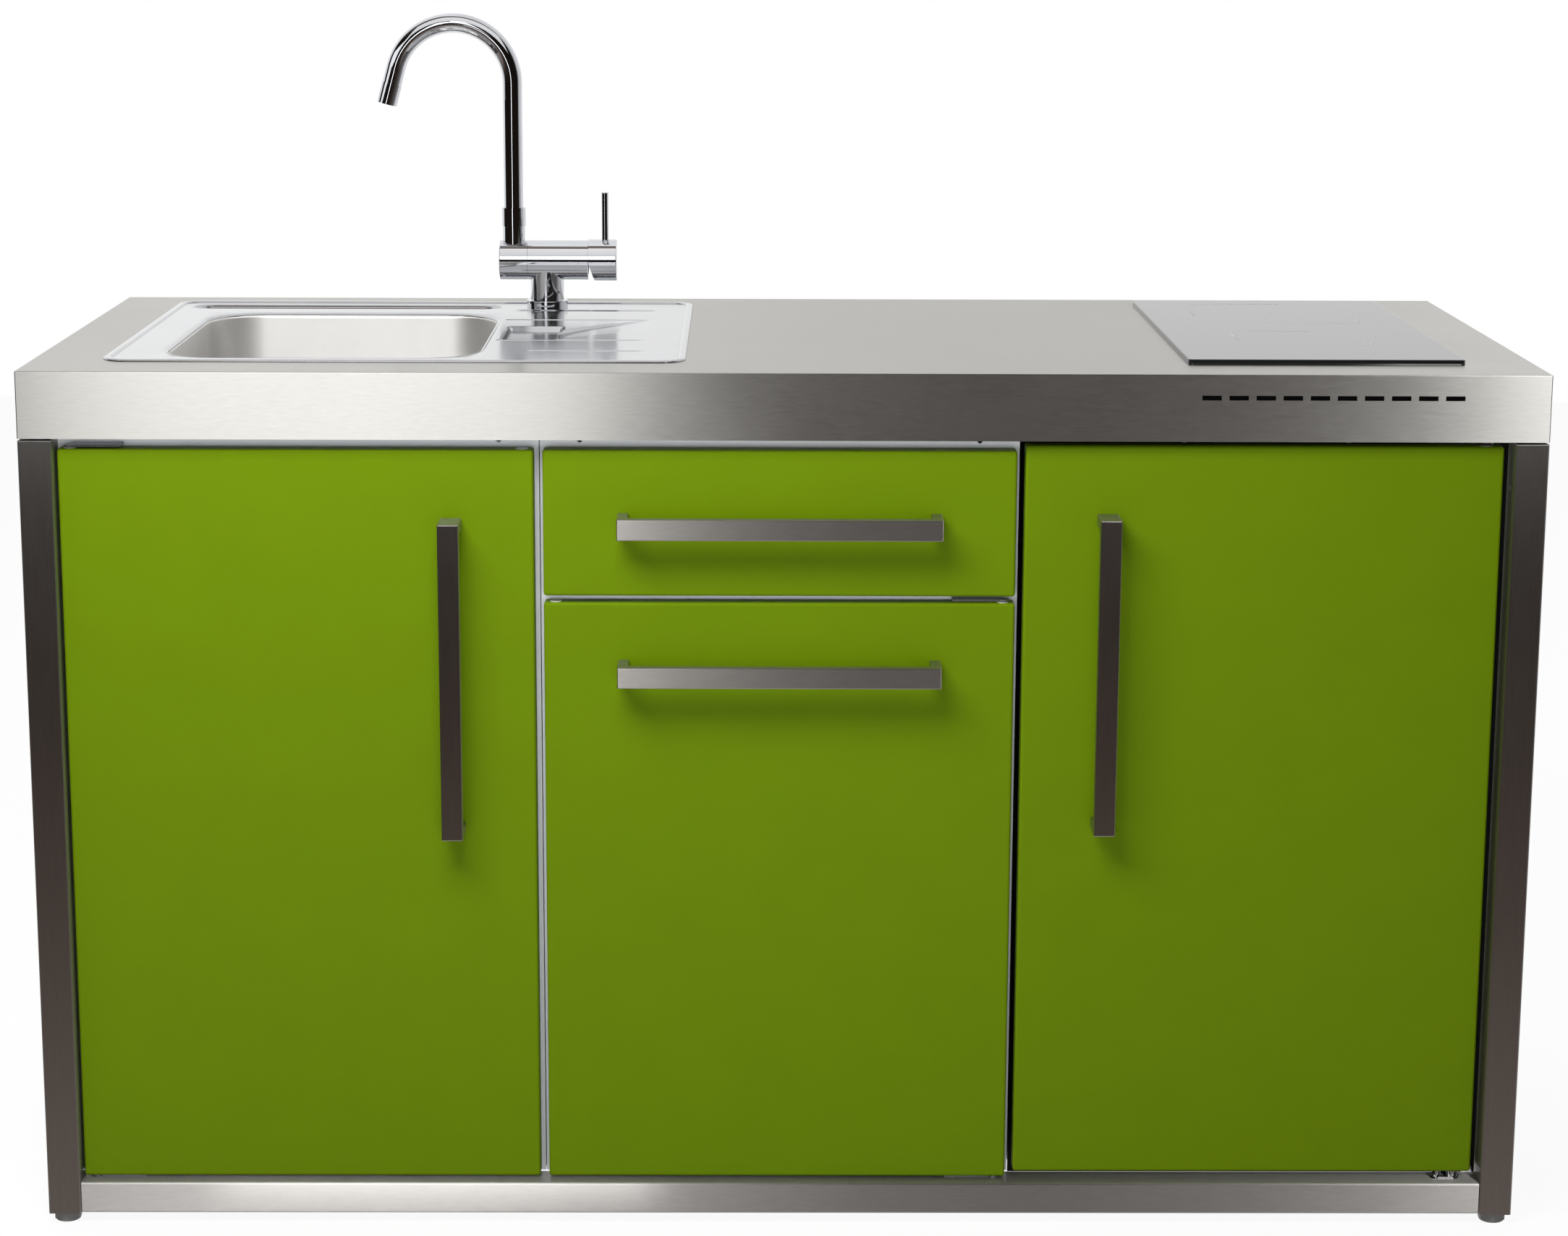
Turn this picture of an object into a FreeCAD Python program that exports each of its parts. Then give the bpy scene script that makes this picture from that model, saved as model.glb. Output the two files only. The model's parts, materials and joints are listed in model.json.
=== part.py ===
"""Outdoor kitchen unit: a steel frame with sink, tap, hob, cabinets, drawer and fridge.

Millimetres, +X to the right, -Y to the front, +Z up. The origin is on the floor,
under the middle of the unit's bounding box.
"""
import FreeCAD, Part
import math
import os

# Overall size of the unit
unit_width = 1575.0
unit_depth = 630.0
unit_height = 925.0

# One overrun for every through cut, and the gaps between pieces
overrun = 1.0
seat_gap = 0.3
running_gap = 0.05
snug_gap = 0.1

# Worktop: a folded tray with the open side down
worktop_sheet = 1.5
worktop_fold_radius = 1.2
apron_height = 70.0
apron_return = 24.0
vent_count = 10
vent_length = 20.0
vent_width = 5.0
vent_pitch = 27.8
vent_from_hob = 5.8
vent_drop = 22.0
stiffener_width = 40.0
stiffener_height = 25.0
stiffener_margin = 30.0
stiffener_places_shares = (0.25, 0.75)

# Frame of square tube
tube_side = 35.0
tube_wall = 2.0
tube_corner = 2.5
leg_rim_radius = 0.8
rail_setback = 2.0
rail_end_gap = 0.5
leg_top_gap = 2.0
plug_length = 20.0
plug_boss_radius = 11.0
frame_screw_radius = 3.0
frame_screw_shank = 2.0
frame_screw_length = 12.0
frame_screw_low = 10.0
frame_screw_high = 48.0
fridge_screw_places_shares = (0.33, 0.67)

# Levelling feet
foot_height = 11.0
foot_across_flats = 26.0
foot_edge = 2.0
foot_stud_radius = 5.0
foot_stud_length = 26.0

# Modules side by side between the legs
module_offset = 33.0
module_width = 500.0
carcass_setback = 39.0
carcass_rear = 38.0
carcass_sheet = 1.2
carcass_gap = 0.5
carcass_flange = 16.0
carcass_rail = 30.0
carcass_lip = 6.5
carcass_hole_radius = 2.5
carcass_hole_inset = 42.0
service_hole_width = 260.0
service_hole_height = 260.0
service_hole_raise = 380.0
cross_rail_overlap = 9.0
shelf_depth_share = 0.72
shelf_height_share = 0.36
shelf_edge = 18.0
shelf_peg_radius = 2.5
shelf_peg_length = 9.0
shelf_peg_inset = 60.0

# Fronts
door_setback = 12.0
door_thickness = 20.0
door_sheet = 1.5
door_edge_radius = 3.0
door_margin = 4.75
front_bottom_gap = 3.5
front_top_drop = 12.5
drawer_front_height = 153.5
drawer_door_gap = 7.5
inner_pan_sheet = 1.0
stiffening_width = 50.0
stiffening_places_shares = (0.3, 0.7)

# Hinges of the two cabinet doors
pivot_inset = 12.0
pivot_behind_front = 10.0
hinge_pin_radius = 3.0
hinge_pin_length = 12.0
hinge_plate = 2.5
hinge_arm_length = 59.0
hinge_arm_depth = 13.0
bush_radius = 5.0
bush_length = 14.0
bush_flange_radius = 6.25
bush_flange = 0.7
hinge_running_gap = 0.3

# Handles of flat bar
handle_length = 336.0
handle_width = 22.0
handle_reach = 38.0
handle_bar = 10.0
handle_post = 11.0
handle_inner_radius = 5.0
handle_edge_radius = 1.2
handle_from_edge = 86.0
handle_from_top = 71.5
handle_screw_radius = 2.0
handle_screw_head = 4.0
handle_screw_depth = 14.0

# Drawer and its runners
drawer_sheet = 1.0
drawer_box_height = 95.0
drawer_rear = 95.0
drawer_box_raise = 12.0
runner_height = 45.0
runner_thickness = 12.7
runner_sheet = 1.2
runner_rear = 93.8
runner_setback = 8.0
runner_play = 0.45
runner_spacer_places_shares = (0.1, 0.8)

# Sink, let into the worktop
sink_width = 611.0
sink_left = 73.0
sink_front = 70.0
sink_rear = 50.0
sink_sheet = 1.0
sink_corner = 26.0
sink_bead_width = 7.0
sink_bead_height = 3.0
sink_bead_radius = 2.4
sink_cutout_inset = 14.0
bowl_width = 330.0
bowl_height = 155.0
bowl_corner = 62.0
bowl_floor_radius = 36.0
bowl_left = 58.0
bowl_front = 32.0
bowl_rear = 110.0
ledge_groove_width = 362.0
ledge_groove_depth = 40.0
ledge_groove_left = 22.0
ledge_groove_rear = 27.0
groove_sink = 3.0
rib_count = 5
rib_width = 6.0
rib_height = 1.4
rib_length = 165.0
rib_left = 401.0
rib_front = 86.0
rib_rear = 78.0
well_width = 60.0
well_depth = 94.0
well_left = 405.0
well_front = 180.0
well_sink = 5.0
well_narrowing_share = 0.18
overflow_width = 6.0
overflow_length = 24.0
drain_radius = 45.0

# Waste fitting and trap
waste_flange_radius = 56.0
waste_flange = 1.5
waste_cup_height = 42.0
waste_cup_radius = 43.0
waste_sheet = 2.0
strainer_radius = 38.0
strainer_height = 26.0
strainer_knob_radius = 6.0
strainer_knob_height = 18.0
strainer_hole_radius = 3.0
strainer_hole_count = 10
trap_pipe_radius = 20.0
trap_pipe_wall = 2.0
trap_drop = 75.0
trap_bottle_radius = 33.0
trap_bottle_height = 120.0
trap_outlet_drop = 30.0
trap_outlet_end = 6.0
trap_ring_radius = 23.0
trap_ring_width = 6.0
trap_spigot_length = 30.0

# Tap on the sink's rear ledge
tap_left = 511.5
tap_rear = 35.0
tap_ring_radius = 24.3
tap_ring_height = 8.0
tap_pedestal_radius = 19.8
tap_axis_height = 55.0
tap_body_radius = 23.3
tap_body_left = 22.0
tap_body_length = 71.0
tap_socket_length = 33.0
tap_joint_gap = 0.3
tap_edge_radius = 1.0
socket_collar_radius = 13.2
socket_collar_height = 40.0
spigot_radius = 9.0
spigot_length = 24.0
spout_collar_radius = 14.1
spout_collar_height = 21.6
spout_radius = 11.4
spout_wall = 1.5
spout_rise = 207.5
spout_bend_radius = 69.0
spout_bend_angle = 165.0
spout_tail = 20.0
aerator_radius = 11.9
aerator_length = 24.0
cap_radius = 24.4
cap_length = 33.5
cap_wall = 4.0
cap_tilt = 15.0
lever_radius = 4.2
lever_rise = 80.0
lever_inset = 14.0
cartridge_radius = 17.0
cartridge_length = 36.0
cartridge_stem_radius = 5.0
cartridge_stem_length = 20.0
tap_shank_radius = 16.5
tap_shank_length = 48.0
tap_nut_radius = 20.5
tap_nut_height = 9.0
tap_washer = 3.0
tap_tail_radius = 5.0
tap_tail_length = 90.0

# Hob, let into the worktop
hob_width = 290.0
hob_glass = 6.0
hob_corner = 5.0
hob_edge_radius = 1.0
hob_right = 75.3
hob_front = 67.6
hob_rear = 52.4
hob_case_inset = 11.0
hob_case_height = 52.0
hob_case_sheet = 1.0
coil_radii_share = (0.27, 0.35)
coil_places_share = (0.25, 0.7)
coil_thickness = 5.0
coil_hole_share = 0.3

# Fridge with its own casing
fridge_gap = 2.5
fridge_right = 41.5
fridge_setback = 65.0
fridge_rear = 40.0
fridge_sheet = 1.0
fridge_side_cover = 22.0
fridge_lower_cover = 12.0
fridge_top_drop = 7.0
fridge_wall = 30.0
liner_sheet = 2.0
liner_back_gap = 40.0
machine_depth = 165.0
machine_height = 190.0
fridge_door_left = 4.0
fridge_door_right = 43.5
fridge_door_bottom_gap = 9.5
fridge_door_top_drop = 6.5
fridge_door_inner = 24.0
fridge_door_inset = 9.0
fridge_pivot_inset = 18.0
fridge_pin_radius = 4.0
fridge_pin_length = 11.0
fridge_bush_radius = 7.0
fridge_bush_flange_radius = 8.25
fridge_stop_radius = 5.0
fridge_collar_radius = 6.0
fridge_plate_width = 15.0
fridge_stop_post = 16.5
gasket_width = 17.0
ice_box_height = 110.0
ice_box_depth = 300.0
ice_box_sheet = 2.0
fridge_shelf_glass = 4.0
fridge_shelf_setback = 130.0
fridge_shelf_heights_share = (0.40, 0.62)
crisper_height = 150.0
crisper_sheet = 2.0
crisper_inset = 12.0
bin_depth = 85.0
bin_height = 60.0
bin_sheet = 2.0
bin_inset = 62.0
bin_heights_share = (0.06, 0.38, 0.70)
compressor_radius = 60.0
compressor_height = 105.0
compressor_foot_radius = 9.0
compressor_foot_height = 12.0
machine_tray = 2.0
knob_radius = 17.0
knob_height = 14.0
knob_pointer_width = 4.0
knob_pointer_height = 1.0
knob_height_share = 0.78

V = FreeCAD.Vector
UP = V(0, 0, 1)

# Places that follow from the sizes above
y_front = -(unit_depth - (handle_reach - door_setback)) / 2
y_back = y_front + unit_depth
x_left = -unit_width / 2
x_right = unit_width / 2
worktop_underside = unit_height - worktop_sheet
apron_bottom = unit_height - apron_height
leg_top = apron_bottom - leg_top_gap
rail_top = foot_height + tube_side

left_x0 = x_left + module_offset
centre_x0 = left_x0 + module_width
fridge_niche_x0 = centre_x0 + module_width
carcass_y0 = y_front + carcass_setback
carcass_y1 = y_back - carcass_rear

door_y0 = y_front + door_setback
door_y1 = door_y0 + door_thickness
pivot_y = door_y0 + pivot_behind_front
front_bottom = rail_top + front_bottom_gap
front_top = apron_bottom - front_top_drop
drawer_bottom = front_top - drawer_front_height
centre_door_top = drawer_bottom - drawer_door_gap
left_door_x = (left_x0 + door_margin, centre_x0 - door_margin)
centre_door_x = (centre_x0 + door_margin, fridge_niche_x0 - door_margin)
left_pivot_x = left_door_x[0] + pivot_inset
centre_pivot_x = centre_door_x[1] - pivot_inset

sink_x0 = x_left + sink_left
sink_x1 = sink_x0 + sink_width
sink_y0 = y_front + sink_front
sink_y1 = y_back - sink_rear
deck_top = unit_height + sink_sheet
bowl_x0 = sink_x0 + bowl_left
bowl_x1 = bowl_x0 + bowl_width
bowl_y0 = sink_y0 + bowl_front
bowl_y1 = sink_y1 - bowl_rear
bowl_bottom = deck_top - bowl_height
drain_x = (bowl_x0 + bowl_x1) / 2
drain_y = (bowl_y0 + bowl_y1) / 2
waste_bottom = bowl_bottom - waste_cup_height

tap_x = x_left + tap_left
tap_y = sink_y1 - tap_rear
tap_axis_z = deck_top + tap_axis_height
body_x0 = tap_x - tap_body_left
body_x1 = body_x0 + tap_body_length
socket_x1 = body_x0 - tap_joint_gap
socket_x0 = socket_x1 - tap_socket_length
spout_x = (socket_x0 + socket_x1) / 2
cap_x0 = body_x1 + tap_joint_gap
cap_x1 = cap_x0 + cap_length
collar_top = tap_axis_z + socket_collar_height
lever_x = cap_x1 - lever_inset

hob_x1 = x_right - hob_right
hob_x0 = hob_x1 - hob_width
hob_y0 = y_front + hob_front
hob_y1 = y_back - hob_rear

fridge_x0 = fridge_niche_x0 + fridge_gap
fridge_x1 = x_right - fridge_right
fridge_y0 = y_front + fridge_setback
fridge_y1 = y_back - fridge_rear
fridge_top = apron_bottom - fridge_top_drop
liner_y0 = fridge_y0 + fridge_sheet + snug_gap
liner_x0 = fridge_x0 + fridge_wall
liner_x1 = fridge_x1 - fridge_wall
liner_y1 = fridge_y1 - liner_back_gap
liner_bottom = rail_top + fridge_wall
liner_top = fridge_top - fridge_wall
step_y = fridge_y1 - machine_depth - fridge_wall
step_z = rail_top + machine_height + fridge_wall
fridge_door_x0 = fridge_niche_x0 + fridge_door_left
fridge_door_x1 = x_right - fridge_door_right
fridge_door_bottom = rail_top + fridge_door_bottom_gap
fridge_door_top = apron_bottom - fridge_door_top_drop
fridge_pivot_x = fridge_door_x1 - fridge_pivot_inset
gasket_y0 = door_y1 + fridge_door_inner
gasket_y1 = fridge_y0 - seat_gap


def box(x0, x1, y0, y1, z0, z1):
    """Return the box between two corners."""
    return Part.makeBox(x1 - x0, y1 - y0, z1 - z0, V(x0, y0, z0))


def rod(radius, start, end):
    """Return the cylinder of a radius from one point to another."""
    return Part.makeCylinder(radius, (end - start).Length, start, end - start)


def tube(outer, inner, start, end):
    """Return the pipe between two points, open at both ends."""
    reach = (end - start).normalize() * overrun
    return rod(outer, start, end).cut(rod(inner, start - reach, end + reach))


def fuse(shapes):
    """Return the shapes as one solid with their shared faces merged."""
    first = shapes[0]
    return first.fuse(shapes[1:]).removeSplitter()


def cut(shape, tools):
    """Return the shape with every tool cut away."""
    return shape.cut(tools)


def rounded_plate(x0, x1, y0, y1, z0, z1, radius):
    """Return an upright block whose four vertical edges have a radius."""
    a, b = x0 + radius, x1 - radius
    c, d = y0 + radius, y1 - radius
    bend = radius * math.sqrt(0.5)
    edges = [
        Part.LineSegment(V(a, y0, z0), V(b, y0, z0)),
        Part.Arc(V(b, y0, z0), V(b + bend, c - bend, z0), V(x1, c, z0)),
        Part.LineSegment(V(x1, c, z0), V(x1, d, z0)),
        Part.Arc(V(x1, d, z0), V(b + bend, d + bend, z0), V(b, y1, z0)),
        Part.LineSegment(V(b, y1, z0), V(a, y1, z0)),
        Part.Arc(V(a, y1, z0), V(a - bend, d + bend, z0), V(x0, d, z0)),
        Part.LineSegment(V(x0, d, z0), V(x0, c, z0)),
        Part.Arc(V(x0, c, z0), V(a - bend, c - bend, z0), V(a, y0, z0)),
    ]
    wire = Part.Wire([edge.toShape() for edge in edges])
    return Part.Face(wire).extrude(V(0, 0, z1 - z0))


def prism(points, along):
    """Return the solid that a closed outline makes when it is pushed along a vector."""
    return Part.Face(Part.makePolygon(points + points[:1])).extrude(along)


def fillet(shape, radius, chosen):
    """Round the edges for which the chosen test of an edge's box holds."""
    edges = [edge for edge in shape.Edges if chosen(edge.BoundBox)]
    return shape.makeFillet(radius, edges)


def same(a, b):
    """Tell whether two lengths are equal for picking an edge."""
    return math.isclose(a, b, abs_tol=1e-6)


def turned(shape, centre, axis, angle):
    """Return a copy of a shape turned about an axis through a point."""
    copy = shape.copy()
    copy.rotate(centre, axis, angle)
    return copy


def moved(shape, offset):
    """Return a copy of a shape pushed along a vector."""
    copy = shape.copy()
    copy.translate(offset)
    return copy


def group(solids):
    """Return separate solids as one compound."""
    return Part.makeCompound(solids)


def square_tube(x0, x1, y0, y1, z0, z1, along):
    """Return a square tube that runs along X, Y or Z with rounded long edges."""
    sizes = {"x": x1 - x0, "y": y1 - y0, "z": z1 - z0}
    outer = box(x0, x1, y0, y1, z0, z1)
    spans = {"x": "XLength", "y": "YLength", "z": "ZLength"}
    longest = spans[along]
    outer = fillet(outer, tube_corner, lambda b: same(getattr(b, longest), sizes[along]))
    inset = {axis: tube_wall for axis in "xyz"}
    inset[along] = -overrun
    hollow = box(
        x0 + inset["x"], x1 - inset["x"],
        y0 + inset["y"], y1 - inset["y"],
        z0 + inset["z"], z1 - inset["z"],
    )
    return outer.cut(hollow)


def leg_corners():
    """Return name, x0 and y0 of the four legs."""
    right = x_right - tube_side
    back = y_back - tube_side
    return [
        ("front_left", x_left, y_front),
        ("front_right", right, y_front),
        ("rear_left", x_left, back),
        ("rear_right", right, back),
    ]


def screw_heights():
    """Return the heights of the screws in each leg's inner face."""
    return (rail_top + frame_screw_low, leg_top - frame_screw_high)


def inward(x0):
    """Return the inner face and the inward direction of the leg at x0."""
    if x0 < 0:
        return x0 + tube_side, 1
    return x0, -1


def leg(x0, y0):
    """Return one leg with the screw holes of its inner face."""
    face, side = inward(x0)
    x1, y1 = x0 + tube_side, y0 + tube_side
    shape = square_tube(x0, x1, y0, y1, foot_height, leg_top, "z")

    def outer_rim(b):
        """Tell whether an edge lies on the outside of the leg's upper end."""
        outside = same(b.XMax, x0) or same(b.XMin, x1) or same(b.YMax, y0) or same(b.YMin, y1)
        return same(b.ZMin, leg_top) and outside

    shape = fillet(shape, leg_rim_radius, outer_rim)
    middle = y0 + tube_side / 2
    holes = []
    for z in screw_heights():
        start = V(face + side * overrun, middle, z)
        end = V(face - side * (tube_wall + overrun), middle, z)
        holes.append(rod(frame_screw_radius + snug_gap, start, end))
    return cut(shape, holes)


def frame_screws():
    """Return the screws that stand flush in the legs' inner faces."""
    solids = []
    for name, x0, y0 in leg_corners():
        face, side = inward(x0)
        middle = y0 + tube_side / 2
        for z in screw_heights():
            head = rod(frame_screw_radius, V(face, middle, z), V(face - side * tube_wall, middle, z))
            tip = V(face - side * frame_screw_length, middle, z)
            solids.append(fuse([head, rod(frame_screw_shank, V(face, middle, z), tip)]))
    return solids


def cross_rail(y0):
    """Return a bottom rail that runs from leg to leg, front or rear."""
    start = x_left + tube_side + rail_end_gap
    end = x_right - tube_side - rail_end_gap
    return square_tube(start, end, y0, y0 + tube_side, foot_height, rail_top, "x")


def side_rails():
    """Return the two bottom rails that run from front to rear leg."""
    start = y_front + tube_side + rail_end_gap
    end = y_back - tube_side - rail_end_gap
    return group([
        square_tube(x0, x0 + tube_side, start, end, foot_height, rail_top, "y")
        for x0 in (x_left, x_right - tube_side)
    ])


def leg_plugs():
    """Return the plugs in both ends of every leg, with a boss on top and a nut bore below."""
    solids = []
    for name, x0, y0 in leg_corners():
        inset = tube_wall + snug_gap
        span = (x0 + inset, x0 + tube_side - inset, y0 + inset, y0 + tube_side - inset)
        middle = V(x0 + tube_side / 2, y0 + tube_side / 2, 0)
        top = box(*span, leg_top - plug_length, leg_top)
        boss = rod(plug_boss_radius, middle + UP * (leg_top - overrun), middle + UP * apron_bottom)
        solids.append(fuse([top, boss]))
        low = box(*span, foot_height, foot_height + plug_length)
        start = middle + UP * (foot_height - overrun)
        bore = rod(foot_stud_radius + running_gap, start, start + UP * (plug_length + 2 * overrun))
        solids.append(low.cut(bore))
    return group(solids)


def foot(x, y):
    """Return one hexagonal foot with its threaded stud."""
    radius = foot_across_flats / math.sqrt(3)
    corners = [
        V(x + radius * math.cos(turn), y + radius * math.sin(turn), 0)
        for turn in (math.tau * (i + 0.5) / 6 for i in range(6))
    ]
    pad = prism(corners, UP * foot_height)
    low = radius - foot_edge
    pad = pad.common(Part.makeCone(low, low + foot_height, foot_height, V(x, y, 0)))
    stud = rod(foot_stud_radius, V(x, y, 0), V(x, y, foot_stud_length + foot_height))
    return fuse([pad, stud])


def levelling_feet():
    """Return the four feet, each in the middle under its leg."""
    half = tube_side / 2
    return group([foot(x0 + half, y0 + half) for name, x0, y0 in leg_corners()])


def vent_slots():
    """Return the cutters of the row of slots in the front apron."""
    top = unit_height - vent_drop
    starts = [hob_x0 + vent_from_hob + vent_pitch * i for i in range(vent_count)]
    return [
        box(x, x + vent_length, y_front - overrun, y_front + worktop_sheet + overrun, top - vent_width, top)
        for x in starts
    ]


def worktop():
    """Return the folded worktop with cut-outs for sink, hob and vents."""
    tray = box(x_left, x_right, y_front, y_back, apron_bottom, unit_height)
    tray = fillet(tray, worktop_fold_radius, lambda b: b.ZMax > apron_bottom + overrun)
    s = worktop_sheet
    hollow = box(
        x_left + s, x_right - s, y_front + s, y_back - s, apron_bottom + s, worktop_underside,
    )
    r = apron_return
    mouth = box(
        x_left + r, x_right - r, y_front + r, y_back - r, apron_bottom - overrun, apron_bottom + s + overrun,
    )
    i = sink_cutout_inset
    sink_hole = rounded_plate(
        sink_x0 + i, sink_x1 - i, sink_y0 + i, sink_y1 - i,
        worktop_underside - overrun, unit_height + overrun, sink_corner - i / 2,
    )
    j = hob_case_inset - seat_gap
    hob_hole = box(
        hob_x0 + j, hob_x1 - j, hob_y0 + j, hob_y1 - j,
        worktop_underside - overrun, unit_height + overrun,
    )
    return cut(tray, [hollow, mouth, sink_hole, hob_hole] + vent_slots())


def stiffeners():
    """Return the channel profiles under the sheet between sink and hob."""
    x0 = sink_x1 + stiffener_margin
    x1 = hob_x0 - stiffener_margin
    solids = []
    for share in stiffener_places_shares:
        y0 = y_front + unit_depth * share - stiffener_width / 2
        bar = box(x0, x1, y0, y0 + stiffener_width, worktop_underside - stiffener_height, worktop_underside)
        hollow = box(
            x0 - overrun, x1 + overrun, y0 + tube_wall, y0 + stiffener_width - tube_wall,
            worktop_underside - stiffener_height - overrun, worktop_underside - tube_wall,
        )
        solids.append(bar.cut(hollow))
    return group(solids)


def carcass_span(x0):
    """Return the left and the right plane of the cabinet in the module at x0."""
    return x0 + carcass_gap, x0 + module_width - carcass_gap


def carcass_sides(x0):
    """Return the two side panels, each with its front flange folded inwards."""
    a, b = carcass_span(x0)
    s = carcass_sheet
    f = carcass_flange
    panels = []
    for wall, flange in ((a, a), (b - s, b - f)):
        panels.append(fuse([
            box(wall, wall + s, carcass_y0, carcass_y1, rail_top, apron_bottom),
            box(flange, flange + f, carcass_y0, carcass_y0 + s, rail_top, apron_bottom),
        ]))
    return panels


def carcass_floor(x0):
    """Return the floor panel with a lip on the front and the rear rail."""
    a, b = carcass_span(x0)
    s = carcass_sheet
    f = carcass_flange
    return fuse([
        box(a + s, b - s, carcass_y0 + s, carcass_y1, rail_top, rail_top + s),
        box(a + f, b - f, carcass_y0 - carcass_lip, carcass_y1 + carcass_lip, rail_top, rail_top + s),
    ])


def carcass_back(x0):
    """Return the back panel, which stands on the floor between the sides."""
    a, b = carcass_span(x0)
    s = carcass_sheet
    return box(a + s, b - s, carcass_y1 - s, carcass_y1, rail_top + s, apron_bottom)


def carcass_front_rail(x0, bottom, top, holes):
    """Return an angled rail between the front flanges; its flat part is at the top if it ends the cabinet."""
    a, b = carcass_span(x0)
    s = carcass_sheet
    f = carcass_flange
    flat = top - s if same(top, apron_bottom) else bottom
    rail = fuse([
        box(a + f, b - f, carcass_y0, carcass_y0 + s, bottom, top),
        box(a + s, b - s, carcass_y0 + s, carcass_y0 + carcass_rail, flat, flat + s),
    ])
    return cut(rail, holes)


def carcass_rear_rail(x0):
    """Return the flat rail along the top of the back."""
    a, b = carcass_span(x0)
    s = carcass_sheet
    return box(a + s, b - s, carcass_y1 - carcass_rail, carcass_y1 - s, apron_bottom - s, apron_bottom)


def rail_holes(places):
    """Return cutters of the small holes in the front top rail."""
    z = (front_top + apron_bottom) / 2
    start = carcass_y0 - overrun
    end = carcass_y0 + carcass_sheet + overrun
    return [rod(carcass_hole_radius, V(x, start, z), V(x, end, z)) for x in places]


def left_carcass():
    """Return the sink cabinet, with a service opening for the waste in its back."""
    middle = left_x0 + module_width / 2
    z0 = rail_top + service_hole_raise
    service = box(
        middle - service_hole_width / 2, middle + service_hole_width / 2,
        carcass_y1 - carcass_sheet - overrun, carcass_y1 + overrun,
        z0, z0 + service_hole_height,
    )
    holes = rail_holes([centre_x0 - carcass_hole_inset])
    return group(carcass_sides(left_x0) + [
        carcass_floor(left_x0),
        carcass_back(left_x0).cut(service),
        carcass_front_rail(left_x0, apron_bottom - carcass_rail, apron_bottom, holes),
        carcass_rear_rail(left_x0),
    ])


def centre_carcass():
    """Return the drawer cabinet, with a cross rail between drawer and door."""
    holes = rail_holes([centre_x0 + carcass_hole_inset, fridge_niche_x0 - carcass_hole_inset])
    return group(carcass_sides(centre_x0) + [
        carcass_floor(centre_x0),
        carcass_back(centre_x0),
        carcass_front_rail(centre_x0, apron_bottom - carcass_rail, apron_bottom, holes),
        carcass_front_rail(
            centre_x0, centre_door_top - cross_rail_overlap, drawer_bottom + cross_rail_overlap, [],
        ),
        carcass_rear_rail(centre_x0),
    ])


def shelf(x0):
    """Return one folded shelf and the four pegs that it lies on."""
    a = x0 + carcass_gap + carcass_sheet
    b = x0 + module_width - carcass_gap - carcass_sheet
    depth = (carcass_y1 - carcass_y0 - 2 * carcass_sheet) * shelf_depth_share
    y1 = carcass_y1 - carcass_sheet - seat_gap
    y0 = y1 - depth
    top = rail_top + (apron_bottom - rail_top) * shelf_height_share
    s = carcass_sheet
    tray = box(a + seat_gap, b - seat_gap, y0, y1, top - shelf_edge, top)
    hollow = box(
        a - overrun, b + overrun, y0 + s, y1 - s, top - shelf_edge - overrun, top - s,
    )
    solids = [tray.cut(hollow)]
    z = top - s - shelf_peg_radius
    for y in (y0 + shelf_peg_inset, y1 - shelf_peg_inset):
        solids.append(rod(shelf_peg_radius, V(a, y, z), V(a + shelf_peg_length, y, z)))
        solids.append(rod(shelf_peg_radius, V(b, y, z), V(b - shelf_peg_length, y, z)))
    return solids


def fridge_fixing_screws():
    """Return the two screws that hang from the apron's return above the fridge."""
    solids = []
    for share in fridge_screw_places_shares:
        x = fridge_x0 + (fridge_x1 - fridge_x0) * share
        y = y_front + apron_return / 2
        head = rod(frame_screw_radius, V(x, y, apron_bottom - frame_screw_shank), V(x, y, apron_bottom))
        solids.append(head)
    return solids


def door_skin(x0, x1, z0, z1, holes):
    """Return a front sheet with four returns, soft front edges and cut holes."""
    outer = box(x0, x1, door_y0, door_y1, z0, z1)
    outer = fillet(
        outer, door_edge_radius, lambda b: b.YMax < door_y1 - overrun or same(b.YLength, door_thickness),
    )
    s = door_sheet
    hollow = box(x0 + s, x1 - s, door_y0 + s, door_y1 + overrun, z0 + s, z1 - s)
    return cut(outer, [hollow] + holes)


def door_pan(x0, x1, z0, z1, holes):
    """Return the inner sheet that closes a door's back, with two stiffening channels."""
    s = door_sheet + snug_gap
    back = door_y1
    sheet = box(x0 + s, x1 - s, back - inner_pan_sheet, back, z0 + s, z1 - s)
    channels = []
    for share in stiffening_places_shares:
        a = x0 + (x1 - x0) * share - stiffening_width / 2
        b = a + stiffening_width
        low, high = z0 + bush_length + s, z1 - bush_length - s
        bar = box(a, b, door_y0 + door_sheet, back - inner_pan_sheet, low, high)
        hollow = box(
            a + inner_pan_sheet, b - inner_pan_sheet, door_y0 + door_sheet + inner_pan_sheet,
            back, low - overrun, high + overrun,
        )
        channels.append(bar.cut(hollow))
    return cut(fuse([sheet] + channels), holes)


def bush_holes(x, z0, z1, radius, low=True, high=True):
    """Return cutters for the bushes in the bottom and top return of a front."""
    ends = []
    if low:
        ends.append((z0 - overrun, z0 + bush_length + overrun))
    if high:
        ends.append((z1 - bush_length - overrun, z1 + overrun))
    return [rod(radius, V(x, pivot_y, start), V(x, pivot_y, end)) for start, end in ends]


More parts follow.
